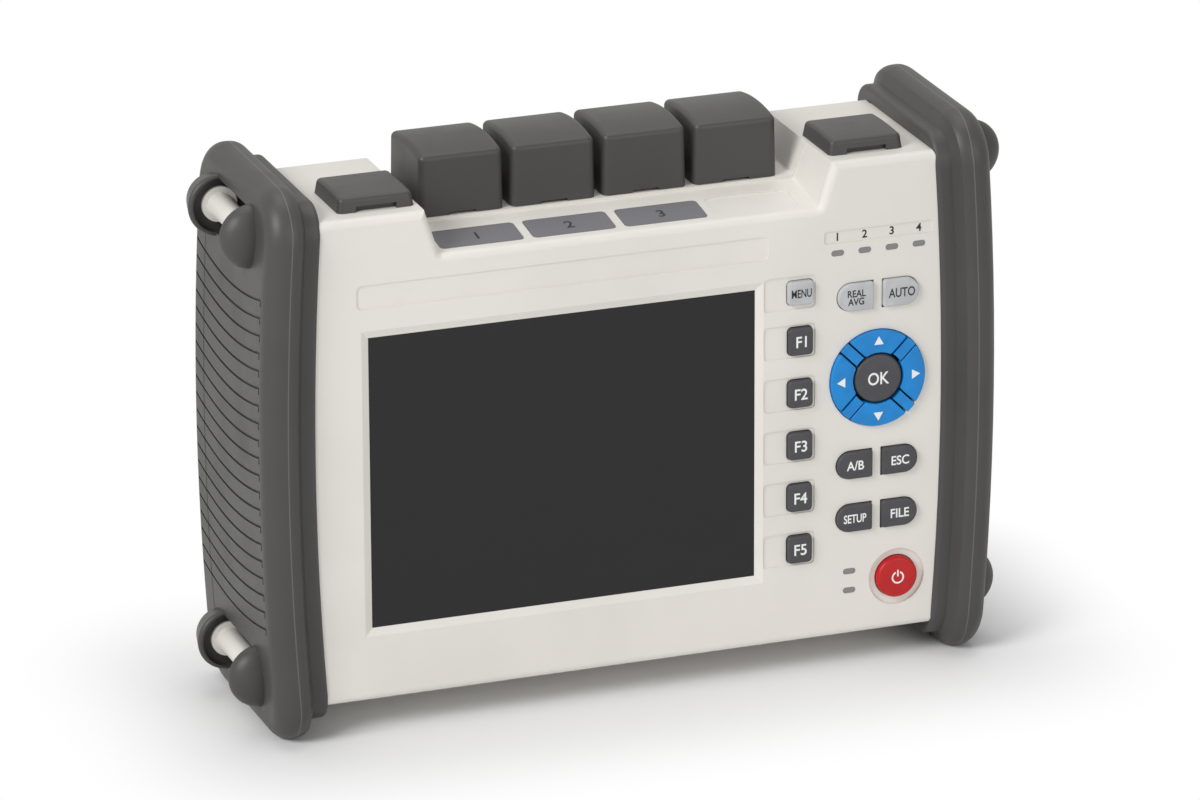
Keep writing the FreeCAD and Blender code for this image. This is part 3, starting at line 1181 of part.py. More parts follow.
def build_rear_shell():
    body = new_body("rear_shell")
    rim = facing(body, "0", BACK_MIDDLE, "split_depth")
    draw_rounded(rim, "2 * back_half", BACK_TALL, "back_corner")
    pad_back(rim, "rim_thick")
    foot = facing(body, "0", BACK_MIDDLE, "split_depth + rim_thick")
    draw_rounded(foot, "2 * back_half", BACK_TALL, "back_corner")
    face = facing(body, "0", BACK_MIDDLE, "back_depth")
    draw_rounded(face, "2 * (back_half - back_inset)", BACK_TALL + " - 2 * back_inset", "back_corner")
    loft("AdditiveLoft", foot, face)
    # hollow inside, open to the front
    mouth = facing(body, "0", BACK_MIDDLE, "split_depth")
    draw_rectangle(mouth, "2 * (back_half - back_inset - wall)", BACK_TALL + " - 2 * back_inset - 2 * wall")
    cut_back(mouth, "back_depth - split_depth - wall")
    # battery well, with the ledge for its door
    well = facing(body, "0", "door_row", "back_depth - wall")
    draw_rectangle(well, "door_wide", "door_high")
    extrude("Pad", well, "back_depth - wall - (%s) + wall" % BATTERY_FRONT)
    seat = facing(body, "0", "door_row", "back_depth")
    draw_rounded(seat, "door_wide + 2 * gap", "door_high + 2 * gap", "2 + gap")
    extrude("Pocket", seat, "door_thick", reverse=True)
    room = facing(body, "0", "door_row", "back_depth")
    draw_rectangle(room, "door_wide - 2 * (ledge + 5)", "door_high - 2 * ledge")
    extrude("Pocket", room, "back_depth - (%s)" % BATTERY_FRONT, reverse=True)
    # room for the folded stand, with the two ears of its hinge
    tray = facing(body, "0", STAND_MIDDLE, STAND_ROOM + " - wall")
    draw_rectangle(tray, "stand_wide + 2 * stand_gap + 2 * wall", "stand_high + 2 * stand_gap + 2 * wall")
    pad_back(tray, "wall + 1")
    tray = facing(body, "0", STAND_MIDDLE, "back_depth")
    draw_rounded(tray, "stand_wide + 2 * stand_gap", "stand_high + 2 * stand_gap", "2")
    extrude("Pocket", tray, "stand_thick + stand_gap", reverse=True)
    for side in ("", "-"):
        across = side + "(stand_wide / 2 - ear_in)"
        ear = new_sketch(body, "YZ_Plane", behind("back_depth - stand_thick / 2 - stand_gap / 2"), "stand_hinge",
                         across)
        draw_rectangle(ear, "stand_thick + stand_gap", "2 * stand_pin + 3")
        extrude("Pad", ear, "hinge_ear", both=True)
    hole = new_sketch(body, "YZ_Plane", behind("back_depth - stand_thick / 2"), "stand_hinge", "0")
    draw_circle(hole, "stand_pin + hair")
    extrude("Pocket", hole, "stand_wide - 2 * ear_in + 2 * hinge_ear", both=True)
    # seats of the feet, then bosses and holes of the screws
    bore_round_row(body, FEET, "foot_radius + hair", "back_depth", "foot_sunk")
    add_round_row(body, SCREWS, "boss_radius", "split_depth", "back_depth - split_depth")
    bore_round_row(body, SCREWS, "screw_radius + hair", "back_depth", "back_depth - split_depth")
    bore_round_row(body, SCREWS, "screw_head + hair", "back_depth", "screw_sunk")
    bore_round_row(body, DOOR_SCREWS, "screw_radius + hair", "back_depth", "door_thick + door_screw")
    return body


def build_screws(label, places, head_depth, long):
    """Pan head screws whose heads face the back."""
    screws = []
    for number, (across, up) in enumerate(places, start=1):
        name = "%s_%d" % (label, number)
        shank = rod(name + "_shank", across, "%s - (%s)" % (head_depth, long), up, "screw_radius", long)
        head = rod(name + "_head", across, head_depth, up, "screw_head", "head_high")
        screws.append(joined(name, [shank, head]))
    return grouped(label, screws)


def build_battery():
    body = new_body("battery_door")
    plate = facing(body, "0", "door_row", DOOR_FACE)
    draw_rounded(plate, "door_wide", "door_high", "2")
    pad_back(plate, "door_thick")
    grip = facing(body, "0", "door_row - door_high / 2 + 7", "back_depth")
    draw_rounded(grip, "22", "4", "1.9")
    extrude("Pocket", grip, "0.8", reverse=True)
    bore_round_row(body, DOOR_SCREWS, "screw_radius + hair", "back_depth", "door_thick")
    bore_round_row(body, DOOR_SCREWS, "screw_head + hair", "back_depth", "head_high")
    tall = "(door_high - 2 * ledge - 2 * gap)"
    pack = block("battery_pack", "0", BATTERY_FRONT, "door_row - %s / 2" % tall,
                 "door_wide - 2 * (ledge + 5) - 2 * gap", "battery_thick", tall)
    return [body, pack]


def build_stand():
    """The fold-out stand, its two hinge barrels and the pin through them."""
    body = new_body("stand")
    plate = facing(body, "0", STAND_MIDDLE, "back_depth - stand_thick")
    draw_rounded(plate, "stand_wide", "stand_high", "4")
    pad_back(plate, "stand_thick")
    opening = facing(body, "0", STAND_MIDDLE + " - 4", "back_depth")
    draw_rounded(opening, "stand_slot_wide", "stand_slot_high", "6")
    extrude("Pocket", opening, "stand_thick", reverse=True)
    crest = size("stand_hinge") + size("stand_thick") / 2 - 0.01
    dress("Fillet", body, edges_of(body, lambda edge: edge.BoundBox.ZMin > crest), "stand_thick / 2.1")
    for side in ("", "-"):
        gap = new_sketch(body, "YZ_Plane", behind("back_depth - stand_thick / 2"), "stand_hinge + 1",
                         side + "(stand_wide / 2 - ear_in)")
        draw_rectangle(gap, "stand_thick + 2", "2 * stand_pin + 9")
        extrude("Pocket", gap, "hinge_ear + 2 * nest", both=True)
    hole = new_sketch(body, "YZ_Plane", behind("back_depth - stand_thick / 2"), "stand_hinge", "0")
    draw_circle(hole, "stand_pin + hair")
    extrude("Pocket", hole, "stand_wide - 2 * ear_in + 2 * hinge_ear", both=True)
    long = "(stand_wide - 2 * ear_in + 2 * hinge_ear)"
    pin = rod("stand_pin", "-%s / 2" % long, "back_depth - stand_thick / 2", "stand_hinge", "stand_pin", long,
              TOWARDS_RIGHT)
    return [body, pin]


# ---------------------------------------------------------------- insides
def build_insides():
    board_wide = "view_wide + 4"
    main = block("main_board", VIEW_ACROSS, "board_depth", "view_low", board_wide, "board_thick", "view_high")
    standoffs = []
    for number, (side, level) in enumerate(((-1, -1), (-1, 1), (1, -1), (1, 1)), start=1):
        standoffs.append(rod("standoff_%d" % number, "%s + %d * (%s - 8) / 2" % (VIEW_ACROSS, side, board_wide),
                             "wall + gasket_thick + lcd_thick", "%s + %d * (view_high - 8) / 2" % (VIEW_UP, level),
                             "2.5", "board_depth - wall - gasket_thick - lcd_thick"))
    optics_high = "20"
    optics = block("optical_module", "0", "board_depth + board_thick", "view_low", "90",
                   BATTERY_FRONT + " - board_depth - board_thick - wall - 4", optics_high)
    return [main, grouped("board_standoffs", standoffs), optics]


# ---------------------------------------------------------------- assembly
nodes = [front_shell, build_rear_shell()]
nodes += build_left_and_right_boot()
nodes += build_strap_bars()
nodes += build_display()
nodes += [build_key(*key) for key in KEYS]
nodes += build_navigation()
nodes += [build_indicators(), build_key_board()]
nodes += [grouped("port_labels", [build_port_label(number, across)
                                  for number, across in enumerate(CAP_PLACES[:3], start=1)])]
nodes += build_covers()
nodes += build_ports()
nodes += build_battery()
nodes += build_stand()
nodes += build_insides()
nodes += [build_screws("case_screws", SCREWS, "back_depth - screw_sunk", "screw_long + back_depth - split_depth - 4"),
          build_screws("door_screws", DOOR_SCREWS, "back_depth - head_high", "door_screw"),
          grouped("rear_feet", [rod("rear_foot_%d" % number, across, "back_depth - foot_sunk", up, "foot_radius",
                                    "foot_sunk + foot_high") for number, (across, up) in enumerate(FEET, start=1)])]
doc.recompute()


def check_features():
    """Stops when a document object failed or a pocket or pad changed nothing."""
    for thing in doc.Objects:
        if {"Invalid", "Error"} & set(thing.State):
            raise RuntimeError("%s failed: %s" % (thing.Label, thing.State))
        kind = thing.TypeId.rsplit("::")[-1]
        base = getattr(thing, "BaseFeature", None)
        if base is None or kind not in ("Pad", "Pocket", "AdditiveLoft", "SubtractiveLoft"):
            continue
        grown = thing.Shape.Volume - base.Shape.Volume
        if (grown if kind in ("Pad", "AdditiveLoft") else -grown) <= 1e-6:
            raise RuntimeError("%s changes nothing" % thing.Label)


def write_nodes():
    for node in nodes:
        shape = node.Shape
        if shape.isNull() or not shape.isValid() or not shape.Solids:
            raise RuntimeError("%s has no sound solid" % node.Label)
        shape.exportStep("parts/%s.step" % node.Label)


check_features()
write_nodes()
print("%d nodes" % len(nodes))
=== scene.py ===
"""Dresses a hand-held optical time domain reflectometer: moulded case, rubber boots and caps, keys with
legends, display, ports, and the pale table that it stands on."""
import math

import bmesh
import bpy
from bpy.props import FloatProperty, FloatVectorProperty, PointerProperty
from mathutils import Matrix, Quaternion, Vector


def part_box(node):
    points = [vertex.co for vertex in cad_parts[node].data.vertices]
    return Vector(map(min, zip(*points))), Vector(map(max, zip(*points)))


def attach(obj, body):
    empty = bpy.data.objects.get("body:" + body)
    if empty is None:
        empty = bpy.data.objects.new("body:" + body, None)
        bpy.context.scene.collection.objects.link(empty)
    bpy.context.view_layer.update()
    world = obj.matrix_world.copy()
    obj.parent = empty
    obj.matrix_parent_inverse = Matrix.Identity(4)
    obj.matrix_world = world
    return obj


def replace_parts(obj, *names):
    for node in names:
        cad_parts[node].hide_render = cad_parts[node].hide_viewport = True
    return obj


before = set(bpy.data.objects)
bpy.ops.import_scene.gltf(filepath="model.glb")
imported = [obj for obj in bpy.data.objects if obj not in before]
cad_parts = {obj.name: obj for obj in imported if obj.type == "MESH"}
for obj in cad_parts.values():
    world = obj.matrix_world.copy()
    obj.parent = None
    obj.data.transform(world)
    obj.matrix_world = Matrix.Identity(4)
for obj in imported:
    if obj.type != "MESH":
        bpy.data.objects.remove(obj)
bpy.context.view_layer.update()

bl_info = {
    "name": "Optical Reflectometer Dresser",
    "version": (1, 0, 0),
    "blender": (4, 5, 0),
    "location": "3D View > Sidebar > Reflectometer",
    "description": "Gives the reflectometer its keys, legends, finishes and stage",
    "category": "Object",
}

MM = 0.001

# The front face of the panel, along Y.
PANEL = -31.2 * MM

# Keys: how far they stand out of the panel, the flange hidden behind it all round, and their corners.
# A round end is a little under half the key's height.
KEY_PROUD = 1.3 * MM
KEY_FLANGE = 1.2 * MM
KEY_CORNER = 1.3 * MM
KEY_SQUARE_CORNER = 0.9 * MM
ROUND_KEY_EDGE = 1.0 * MM
ROUND_END = 1 / 2.02

# Cursor pad: the arrow keys between the centre key and the rim, cut back along the bars of the cross.
PAD_RADIUS = 15.1 * MM
PAD_GAP = 0.5 * MM
PAD_BAR = 2.1 * MM
RIM_STEPS = 12
INNER_STEPS = 5
ARROW_CORNER = 0.7 * MM
ARROW_EDGE = 0.4 * MM
ARROWHEAD = 1.75 * MM
OK_LETTERS = 3.9 * MM
OK_SQUEEZE = 0.85

# Power sign: an open ring and the bar in its gap.
SIGN_RADIUS = 2.0 * MM
SIGN_LINE = 0.5 * MM
SIGN_GAP = 0.62 * MM
SIGN_BAR = 2.1 * MM
SIGN_BAR_UP = 1.35 * MM

# Printed letters: a capital's share of the type size, the step between lines, and how much bolder they are.
CAPITAL_HEIGHT = 0.72
LINE_LEAD = 1.15
LETTER_BOLD = 0.00007

# Bay below the caps, on whose slope the label plates lie, and the numbers printed there.
BAY_RISE = 3.3
BAY_RUN = 21.6
LABEL_LETTERS = 4.2 * MM
INDICATOR_LETTERS = 2.5 * MM
INDICATOR_COUNT = 4
INDICATOR_MARK_UP = 5.0 * MM
INDICATOR_MARK_SUNK = 0.33 * MM

# Painted shade of a screw's cross recess: a thin black cross, its arm length, width and thickness in mm.
RECESS_SHADE_LONG = 2.2
RECESS_SHADE_WIDE = 0.5
RECESS_SHADE_THICK = 0.04

# Wires of the network socket.
WIRE_COUNT = 8
WIRE_PITCH = 1.02 * MM
WIRE_SIZE = (0.45 * MM, 0.25 * MM, 6.5 * MM)
WIRE_LEAN = math.radians(14)
WIRE_BACK = 2.6 * MM

# Parting line of a side boot: it lies SEAM_CREST out at mid height and SEAM_BOW nearer at the ends.
SEAM_MIDDLE = 0.08505
SEAM_HALF = 0.0754
SEAM_BOW = 0.0028
SEAM_CREST = 0.1086
SEAM_CORE = 0.00008
SEAM_FADE = 0.00026
SEAM_STRENGTH = 0.55
SEAM_PALE = 3.2

# Camera: what it looks at, the way back to it, its distance, lens and roll.
AIM = (-0.0102, PANEL, 0.0958)
AWAY = (-0.3233, -0.8838, 0.3385)
CAMERA_DISTANCE = 2.309
LENS = 235.0
CAMERA_ROLL = math.radians(-0.245)

# Lights: name, place, width of the disc and power.
LAMPS = (("key_light", (-2.6, -1.3, 2.0), 1.6, 72.0),
         ("fill_light", (1.2, -2.8, 1.0), 2.0, 17.0),
         ("top_light", (0.2, 0.4, 2.6), 2.2, 21.0))
LAMP_AIM = (0, 0, 0.08)
ROOM_LIGHT = 0.38

# Table: half the footprint of the case, and how far from it the contact shadow fades to white.
FOOT_ACROSS = 0.106
FOOT_ALONG = 0.036
SHADOW_REACH = 0.07
TABLE_RADIUS = 9.0


# ---------------------------------------------------------------- sizes and colours
def length(name, description, default):
    return FloatProperty(name=name, description=description, default=default, min=0.0, unit="LENGTH",
                         precision=5)


def colour(name, description, red, green, blue):
    """A colour property, given as the eye reads it and stored as light."""
    light = [((c / 255 + 0.055) / 1.055) ** 2.4 if c > 10 else c / 255 / 12.92 for c in (red, green, blue)]
    return FloatVectorProperty(name=name, description=description, subtype="COLOR", size=3, min=0, max=1,
                               default=light)


class KeySizes(bpy.types.PropertyGroup):
    edge: length("Edge", "Rounding of a key's front edge", 0.0006)
    ink: length("Ink", "Height of the printed legends", 0.00003)


class Finishes(bpy.types.PropertyGroup):
    case: colour("Case", "Moulded case", 228, 224, 217)
    rubber: colour("Rubber", "Side boots and caps", 67, 66, 64)
    screen: colour("Screen", "Display, switched off", 31, 31, 33)
    blue: colour("Blue", "Arrow keys", 4, 130, 205)
    red: colour("Red", "Power key", 190, 12, 18)
    dark_key: colour("Dark key", "Dark rubber keys", 70, 70, 73)
    light_key: colour("Light key", "Light rubber keys", 186, 188, 190)
    label: colour("Label", "Port label plates", 122, 121, 125)
    lamp: colour("Lamp", "Indicator windows", 132, 133, 132)
    white_ink: colour("White ink", "Legends on dark keys", 240, 240, 238)
    dark_ink: colour("Dark ink", "Legends on light keys", 45, 45, 48)


# ---------------------------------------------------------------- materials
class Reading:
    """A socket of a material, on which sums are written as Python."""

    def __init__(self, finish, socket):
        self.finish, self.socket = finish, socket

    def sum(self, operation, first, second=None):
        values = {0: first} if second is None else {0: first, 1: second}
        return self.finish.node("ShaderNodeMath", {"operation": operation}, values)

    def __add__(self, other):
        return self.sum("ADD", self, other)

    def __radd__(self, other):
        return self.sum("ADD", other, self)

    def __sub__(self, other):
        return self.sum("SUBTRACT", self, other)

    def __rsub__(self, other):
        return self.sum("SUBTRACT", other, self)

    def __mul__(self, other):
        return self.sum("MULTIPLY", self, other)

    def __rmul__(self, other):
        return self.sum("MULTIPLY", other, self)

    def __truediv__(self, other):
        return self.sum("DIVIDE", self, other)

    def __pow__(self, other):
        return self.sum("POWER", self, other)

    def size(self):
        return self.sum("ABSOLUTE", self)

    def at_most(self, limit):
        return self.sum("MINIMUM", self, limit)

    def at_least(self, limit):
        return self.sum("MAXIMUM", self, limit)

    def between(self, low, high):
        """0 below low, 1 above high, and smooth from one to the other."""
        return self.finish.node("ShaderNodeMapRange", {"interpolation_type": "SMOOTHSTEP"},
                                {"Value": self, "From Min": low, "From Max": high})


class Finish:
    """One material, made node by node round a Principled shader."""

    def __init__(self, name):
        self.material = bpy.data.materials.new(name)
        self.material.use_nodes = True
        self.tree = self.material.node_tree
        self.shader = self.tree.nodes["Principled BSDF"]
        self.place = self.node("ShaderNodeTexCoord", out="Object")

    @classmethod
    def of(cls, material):
        """Takes up a material that is made already, to add to it."""
        finish = cls.__new__(cls)
        finish.material, finish.tree = material, material.node_tree
        finish.shader = finish.tree.nodes["Principled BSDF"]
        finish.place = Reading(finish, finish.tree.nodes["Texture Coordinate"].outputs["Object"])
        return finish

    def node(self, kind, settings=None, values=None, out=0):
        """Adds a node, sets it up, fills its sockets with values or links, and gives back one output."""
        made = self.tree.nodes.new(kind)
        for key, value in (settings or {}).items():
            setattr(made, key, value)
        for key, value in (values or {}).items():
            self.fill(made.inputs[key], value)
        return Reading(self, made.outputs[out])

    def along(self, axis):
        """The place along one axis of the piece."""
        return self.node("ShaderNodeSeparateXYZ", None, {"Vector": self.place}, out=axis)

    def fill(self, socket, value):
        if isinstance(value, Reading):
            self.tree.links.new(value.socket, socket)
        elif socket.type == "RGBA" and len(value) == 3:
            socket.default_value = (*value, 1)
        else:
            socket.default_value = value

    def set(self, **values):
        """Fills the shader's sockets; Base_Color stands for Base Color."""
        for key, value in values.items():
            self.fill(self.shader.inputs[key.replace("_", " ")], value)
        return self

    def noise(self, scale, detail=2.0, rough=0.5, stretch=None):
        place = self.place
        if stretch:
            place = self.node("ShaderNodeMapping", None, {"Vector": place, "Scale": stretch})
        return self.node("ShaderNodeTexNoise", None,
                         {"Vector": place, "Scale": scale, "Detail": detail, "Roughness": rough})

    def mix(self, factor, first, second):
        made = self.tree.nodes.new("ShaderNodeMix")
        made.data_type = "RGBA"
        self.fill(made.inputs[0], factor)
        self.fill(made.inputs[6], first)
        self.fill(made.inputs[7], second)
        return Reading(self, made.outputs[2])

    def bump(self, height, distance, strength=1.0, under=None):
        values = {"Height": height, "Distance": distance, "Strength": strength}
        if under is not None:
            values["Normal"] = under
        return self.node("ShaderNodeBump", None, values)


def shaded(tint, factor):
    return [min(1.0, channel * factor) for channel in tint]


def moulded(name, tint, rough=0.45, grain=0.000012, grain_scale=2600.0, specular=0.4, mottle=0.03, soil=0.0):
    """Satin moulded plastic: fine spark-eroded grain, a breath of mottling and, where asked, faint soil."""
    finish = Finish(name)
    broad = finish.noise(22.0, 3.0)
    surface = finish.mix(broad.between(0.3, 0.7), shaded(tint, 1 - mottle), shaded(tint, 1 + mottle))
    if soil:
        rubbed = finish.noise(70.0, 6.0, 0.62).between(0.55, 0.8)
        surface = finish.mix(rubbed * soil, surface, shaded(tint, 0.72))
    fine = finish.noise(grain_scale, 3.0, 0.6)
    finish.set(Base_Color=surface, Roughness=rough + (broad - 0.5) * 0.08 + (fine - 0.5) * 0.06,
               Specular_IOR_Level=specular, Normal=finish.bump(fine, grain))
    return finish.material


def rubber(name, tint, rough=0.47):
    """Soft-touch rubber: open grain, a dusty bloom in patches and slightly polished spots."""
    finish = Finish(name)
    broad = finish.noise(16.0, 4.0, 0.55)
    bloom = finish.noise(55.0, 6.0, 0.65).between(0.42, 0.75)
    surface = finish.mix(broad.between(0.3, 0.7), shaded(tint, 0.93), shaded(tint, 1.07))
    surface = finish.mix(bloom * 0.16, surface, shaded(tint, 1.5))
    grain = finish.noise(3200.0, 3.0, 0.65)
    pits = finish.noise(900.0, 2.0)
    finish.set(Base_Color=surface, Roughness=rough + (bloom - 0.5) * 0.1 + (grain - 0.5) * 0.08,
               Specular_IOR_Level=0.42,
               Normal=finish.bump(grain, 0.00003, under=finish.bump(pits, 0.00002)))
    return finish.material


def boot_rubber(name, tint):
    """The boots' rubber, with the pale line along the crest where the two halves of the mould met."""
    made = rubber(name, tint)
    finish = Finish.of(made)
    across, up = finish.along("X"), finish.along("Z")
    bow = (((up - SEAM_MIDDLE) / SEAM_HALF) ** 2.0).at_most(1.0) * SEAM_BOW
    off = (across.size() + bow - SEAM_CREST).size()
    line = 1.0 - off.between(SEAM_CORE, SEAM_FADE)
    plain = finish.shader.inputs["Base Color"].links[0].from_socket
    finish.set(Base_Color=finish.mix(line * SEAM_STRENGTH, Reading(finish, plain), shaded(tint, SEAM_PALE)))
    return made


def key_rubber(name, tint, rough=0.5):
    """Silicone key: smooth, lightly worn where fingers press."""
    finish = Finish(name)
    wear = finish.noise(180.0, 4.0)
    grain = finish.noise(3600.0, 2.0)
    surface = finish.mix(wear.between(0.35, 0.7), shaded(tint, 0.94), shaded(tint, 1.08))
    finish.set(Base_Color=surface, Roughness=rough + (wear - 0.5) * 0.12, Specular_IOR_Level=0.42,
               Normal=finish.bump(grain, 0.000012))
    return finish.material


def metal(name, tint, rough=0.28):
    """Plated metal with fine tool marks."""
    finish = Finish(name)
    marks = finish.noise(900.0, 4.0, 0.6, stretch=(1.0, 1.0, 14.0))
    finish.set(Base_Color=finish.mix(marks, shaded(tint, 0.85), shaded(tint, 1.05)), Metallic=1.0,
               Roughness=rough + (marks - 0.5) * 0.14, Normal=finish.bump(marks, 0.000008))
    return finish.material


def ink(name, tint):
    """Screen-printed ink, slightly uneven."""
    finish = Finish(name)
    patch = finish.noise(1500.0, 3.0)
    finish.set(Base_Color=finish.mix(patch, shaded(tint, 0.94), shaded(tint, 1.04)),
               Roughness=0.5 + (patch - 0.5) * 0.1, Specular_IOR_Level=0.35)
    return finish.material


def screen(name, tint):
    """Dark, matt-coated display that is switched off."""
    finish = Finish(name)
    cells = finish.noise(5200.0, 1.0)
    broad = finish.noise(9.0, 2.0)
    finish.set(Base_Color=finish.mix(broad, shaded(tint, 0.96), shaded(tint, 1.04)),
               Roughness=0.34 + (broad - 0.5) * 0.05, Specular_IOR_Level=0.3,
               Normal=finish.bump(cells, 0.000003))
    return finish.material


def circuit_board(name):
    """Green solder mask over a tangle of tracks."""
    finish = Finish(name)
    cell = finish.node("ShaderNodeTexVoronoi", {"feature": "DISTANCE_TO_EDGE"},
                       {"Vector": finish.place, "Scale": 420.0}, out="Distance")
    track = cell.between(0.03, 0.08)
    finish.set(Base_Color=finish.mix(track, (0.012, 0.11, 0.035), (0.004, 0.045, 0.016)), Roughness=0.35,
               Normal=finish.bump(track, 0.00003))
    return finish.material


def materials():
    """Every finish of the object, made once and kept by name."""
    if "case_plastic" in bpy.data.materials:
        return bpy.data.materials
    tints = bpy.context.scene.otdr_finishes
    moulded("case_plastic", tints.case, soil=0.05)
    moulded("strap_bar_plastic", tints.case, rough=0.32, grain=0.000004)
    moulded("stand_moulding", shaded(tints.rubber, 0.9), rough=0.5)
    boot_rubber("side_boot_rubber", tints.rubber)
    rubber("soft_cap_rubber", shaded(tints.rubber, 0.95), rough=0.46)
    rubber("black_rubber", shaded(tints.rubber, 0.35))
    screen("display_screen", tints.screen)
    key_rubber("dark_key", tints.dark_key)
    key_rubber("light_key", tints.light_key)
    key_rubber("blue_key", tints.blue, rough=0.4)
    key_rubber("red_key", tints.red, rough=0.38)
    moulded("satin_label", tints.label, rough=0.42, grain=0.000005, mottle=0.015)
    moulded("lamp_window", tints.lamp, rough=0.28, grain=0.000002)
    # Black plastic is the power jack's own colour, and is also used as painted shade in the screw recesses.
    moulded("black_plastic", (0.012, 0.012, 0.013), rough=0.4)
    moulded("battery_sleeve", (0.02, 0.02, 0.024), rough=0.3)
    metal("plated_metal", (0.62, 0.62, 0.64))
    metal("screw_metal", (0.32, 0.32, 0.33), rough=0.34)
    metal("contact_gold", (0.9, 0.62, 0.22), rough=0.2)
    circuit_board("solder_mask")
    ink("white_ink", tints.white_ink)
    ink("dark_ink", tints.dark_ink)
    return bpy.data.materials


def paint(material, *nodes):
    """Gives CAD pieces a finish."""
    for name in nodes:
        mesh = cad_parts[name].data
        mesh.materials.clear()
        mesh.materials.append(materials()[material])


# ---------------------------------------------------------------- pieces
def piece(name, bm, material, body, smooth=35.0, more=()):
    """Turns a bmesh into a finished piece that rides on a body."""
    bmesh.ops.remove_doubles(bm, verts=bm.verts, dist=1e-7)
    bmesh.ops.recalc_face_normals(bm, faces=bm.faces)
    mesh = bpy.data.meshes.new(name)
    bm.to_mesh(mesh)
    bm.free()
    for finish in (material, *more):
        mesh.materials.append(materials()[finish])
    mesh.shade_smooth()
    mesh.set_sharp_from_angle(angle=math.radians(smooth))
    made = bpy.data.objects.new(name, mesh)
    bpy.context.scene.collection.objects.link(made)
    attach(made, body)
    return made


def to_panel(across, up, depth=0.0):
    """Lays an X-Y drawing on the front panel: its Y becomes up and its Z comes forward."""
    return Matrix.Translation((across, PANEL + depth, up)) @ Matrix.Rotation(math.radians(90), 4, "X")


def middle_of(node):
    low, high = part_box(node)
    return (low + high) / 2, high - low


def islands(node):
    """The lowest and highest corner of every separate solid of a CAD node."""
    bm = bmesh.new()
    bm.from_mesh(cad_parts[node].data)
    bmesh.ops.remove_doubles(bm, verts=bm.verts, dist=1e-6)
    left, boxes = set(bm.verts), []
    while left:
        reached, edge = set(), {left.pop()}
        while edge:
            reached |= edge
            edge = {e.other_vert(v) for v in edge for e in v.link_edges} - reached
        left -= reached
        boxes.append([Vector([pick(v.co[i] for v in reached) for i in range(3)]) for pick in (min, max)])
    bm.free()
    return boxes


def crowned(bm, faces, steps):
    """Raises faces in small insets, so that their edge becomes round."""
    for inset, rise in steps:
        bmesh.ops.inset_region(bm, faces=faces, thickness=inset, depth=rise, use_even_offset=True)


def quarter_round(radius, count=5):
    """The insets and rises of a quarter circle."""
    steps = []
    for i in range(count):
        a, b = (math.pi / 2 * t / count for t in (i, i + 1))
        steps.append((radius * (math.cos(a) - math.cos(b)), radius * (math.sin(b) - math.sin(a))))
    return steps


def raise_key(bm, proud, edge, sink=0.0012):
    """Gives a flat outline its wall, round edge and slightly crowned top, from behind the panel's face."""
    made = bmesh.ops.extrude_face_region(bm, geom=bm.faces[:])
    bmesh.ops.translate(bm, verts=[v for v in made["geom"] if isinstance(v, bmesh.types.BMVert)],
                        vec=(0, 0, sink + proud - edge))
    top = [f for f in made["geom"] if isinstance(f, bmesh.types.BMFace)]
    crowned(bm, top, quarter_round(edge))
    bmesh.ops.translate(bm, verts=bm.verts, vec=(0, 0, -sink))


def plate_outline(bm, wide, high, corners):
    """A flat plate with a rounding of its own at each corner, from lower left round to upper left."""
    bmesh.ops.create_grid(bm, x_segments=1, y_segments=1, size=0.5)
    bmesh.ops.scale(bm, verts=bm.verts, vec=(wide, high, 1))
    spots = ((-1, -1), (1, -1), (1, 1), (-1, 1))
    for radius in sorted(set(corners)):
        chosen = [v for v in bm.verts for spot, r in zip(spots, corners)
                  if r == radius and abs(v.co.x - spot[0] * wide / 2) < 1e-9
                  and abs(v.co.y - spot[1] * high / 2) < 1e-9]
        bmesh.ops.bevel(bm, geom=chosen, offset=radius, affect="VERTICES", segments=10, profile=0.5,
                        material=-1, clamp_overlap=True)


def ink_plate(bm, thick):
    """Gives a flat sign its thickness, half of it above the plane that it is drawn on."""
    bmesh.ops.solidify(bm, geom=bm.faces[:], thickness=thick)
    heights = [v.co.z for v in bm.verts]
    bmesh.ops.translate(bm, verts=bm.verts, vec=(0, 0, -(min(heights) + max(heights)) / 2))


def lettering(name, lines, size, lie, material, body, squeeze=1.0):
    """Printed words as a thin mesh, centred on a spot and laid down by a matrix."""
    curve = bpy.data.curves.new(name + "_font", "FONT")
    curve.body = "\n".join(lines)
    curve.size = size / CAPITAL_HEIGHT
    curve.space_line = LINE_LEAD * CAPITAL_HEIGHT
    curve.align_x, curve.align_y = "CENTER", "CENTER"
    curve.offset = LETTER_BOLD
    curve.resolution_u = 6
    curve.extrude = bpy.context.scene.otdr_keys.ink / 2
    words = bpy.data.objects.new(name + "_font", curve)
    bpy.context.scene.collection.objects.link(words)
    bpy.context.view_layer.update()
    mesh = bpy.data.meshes.new_from_object(words.evaluated_get(bpy.context.evaluated_depsgraph_get()))
    bm = bmesh.new()
    bm.from_mesh(mesh)
    bpy.data.objects.remove(words)
    bpy.data.curves.remove(curve)
    bpy.data.meshes.remove(mesh)
    low = [min(v.co[i] for v in bm.verts) for i in (0, 1)]
    high = [max(v.co[i] for v in bm.verts) for i in (0, 1)]
    bmesh.ops.translate(bm, verts=bm.verts, vec=(-(low[0] + high[0]) / 2, -(low[1] + high[1]) / 2, 0))
    bmesh.ops.scale(bm, verts=bm.verts, vec=(squeeze, 1, 1))
    bmesh.ops.transform(bm, matrix=lie, verts=bm.verts)
    return piece(name, bm, material, body)


# ---------------------------------------------------------------- operators
class Dress:
    """What the operators share."""
    bl_options = {"REGISTER", "UNDO"}

    def execute(self, context):
        self.make(context)
        return {"FINISHED"}


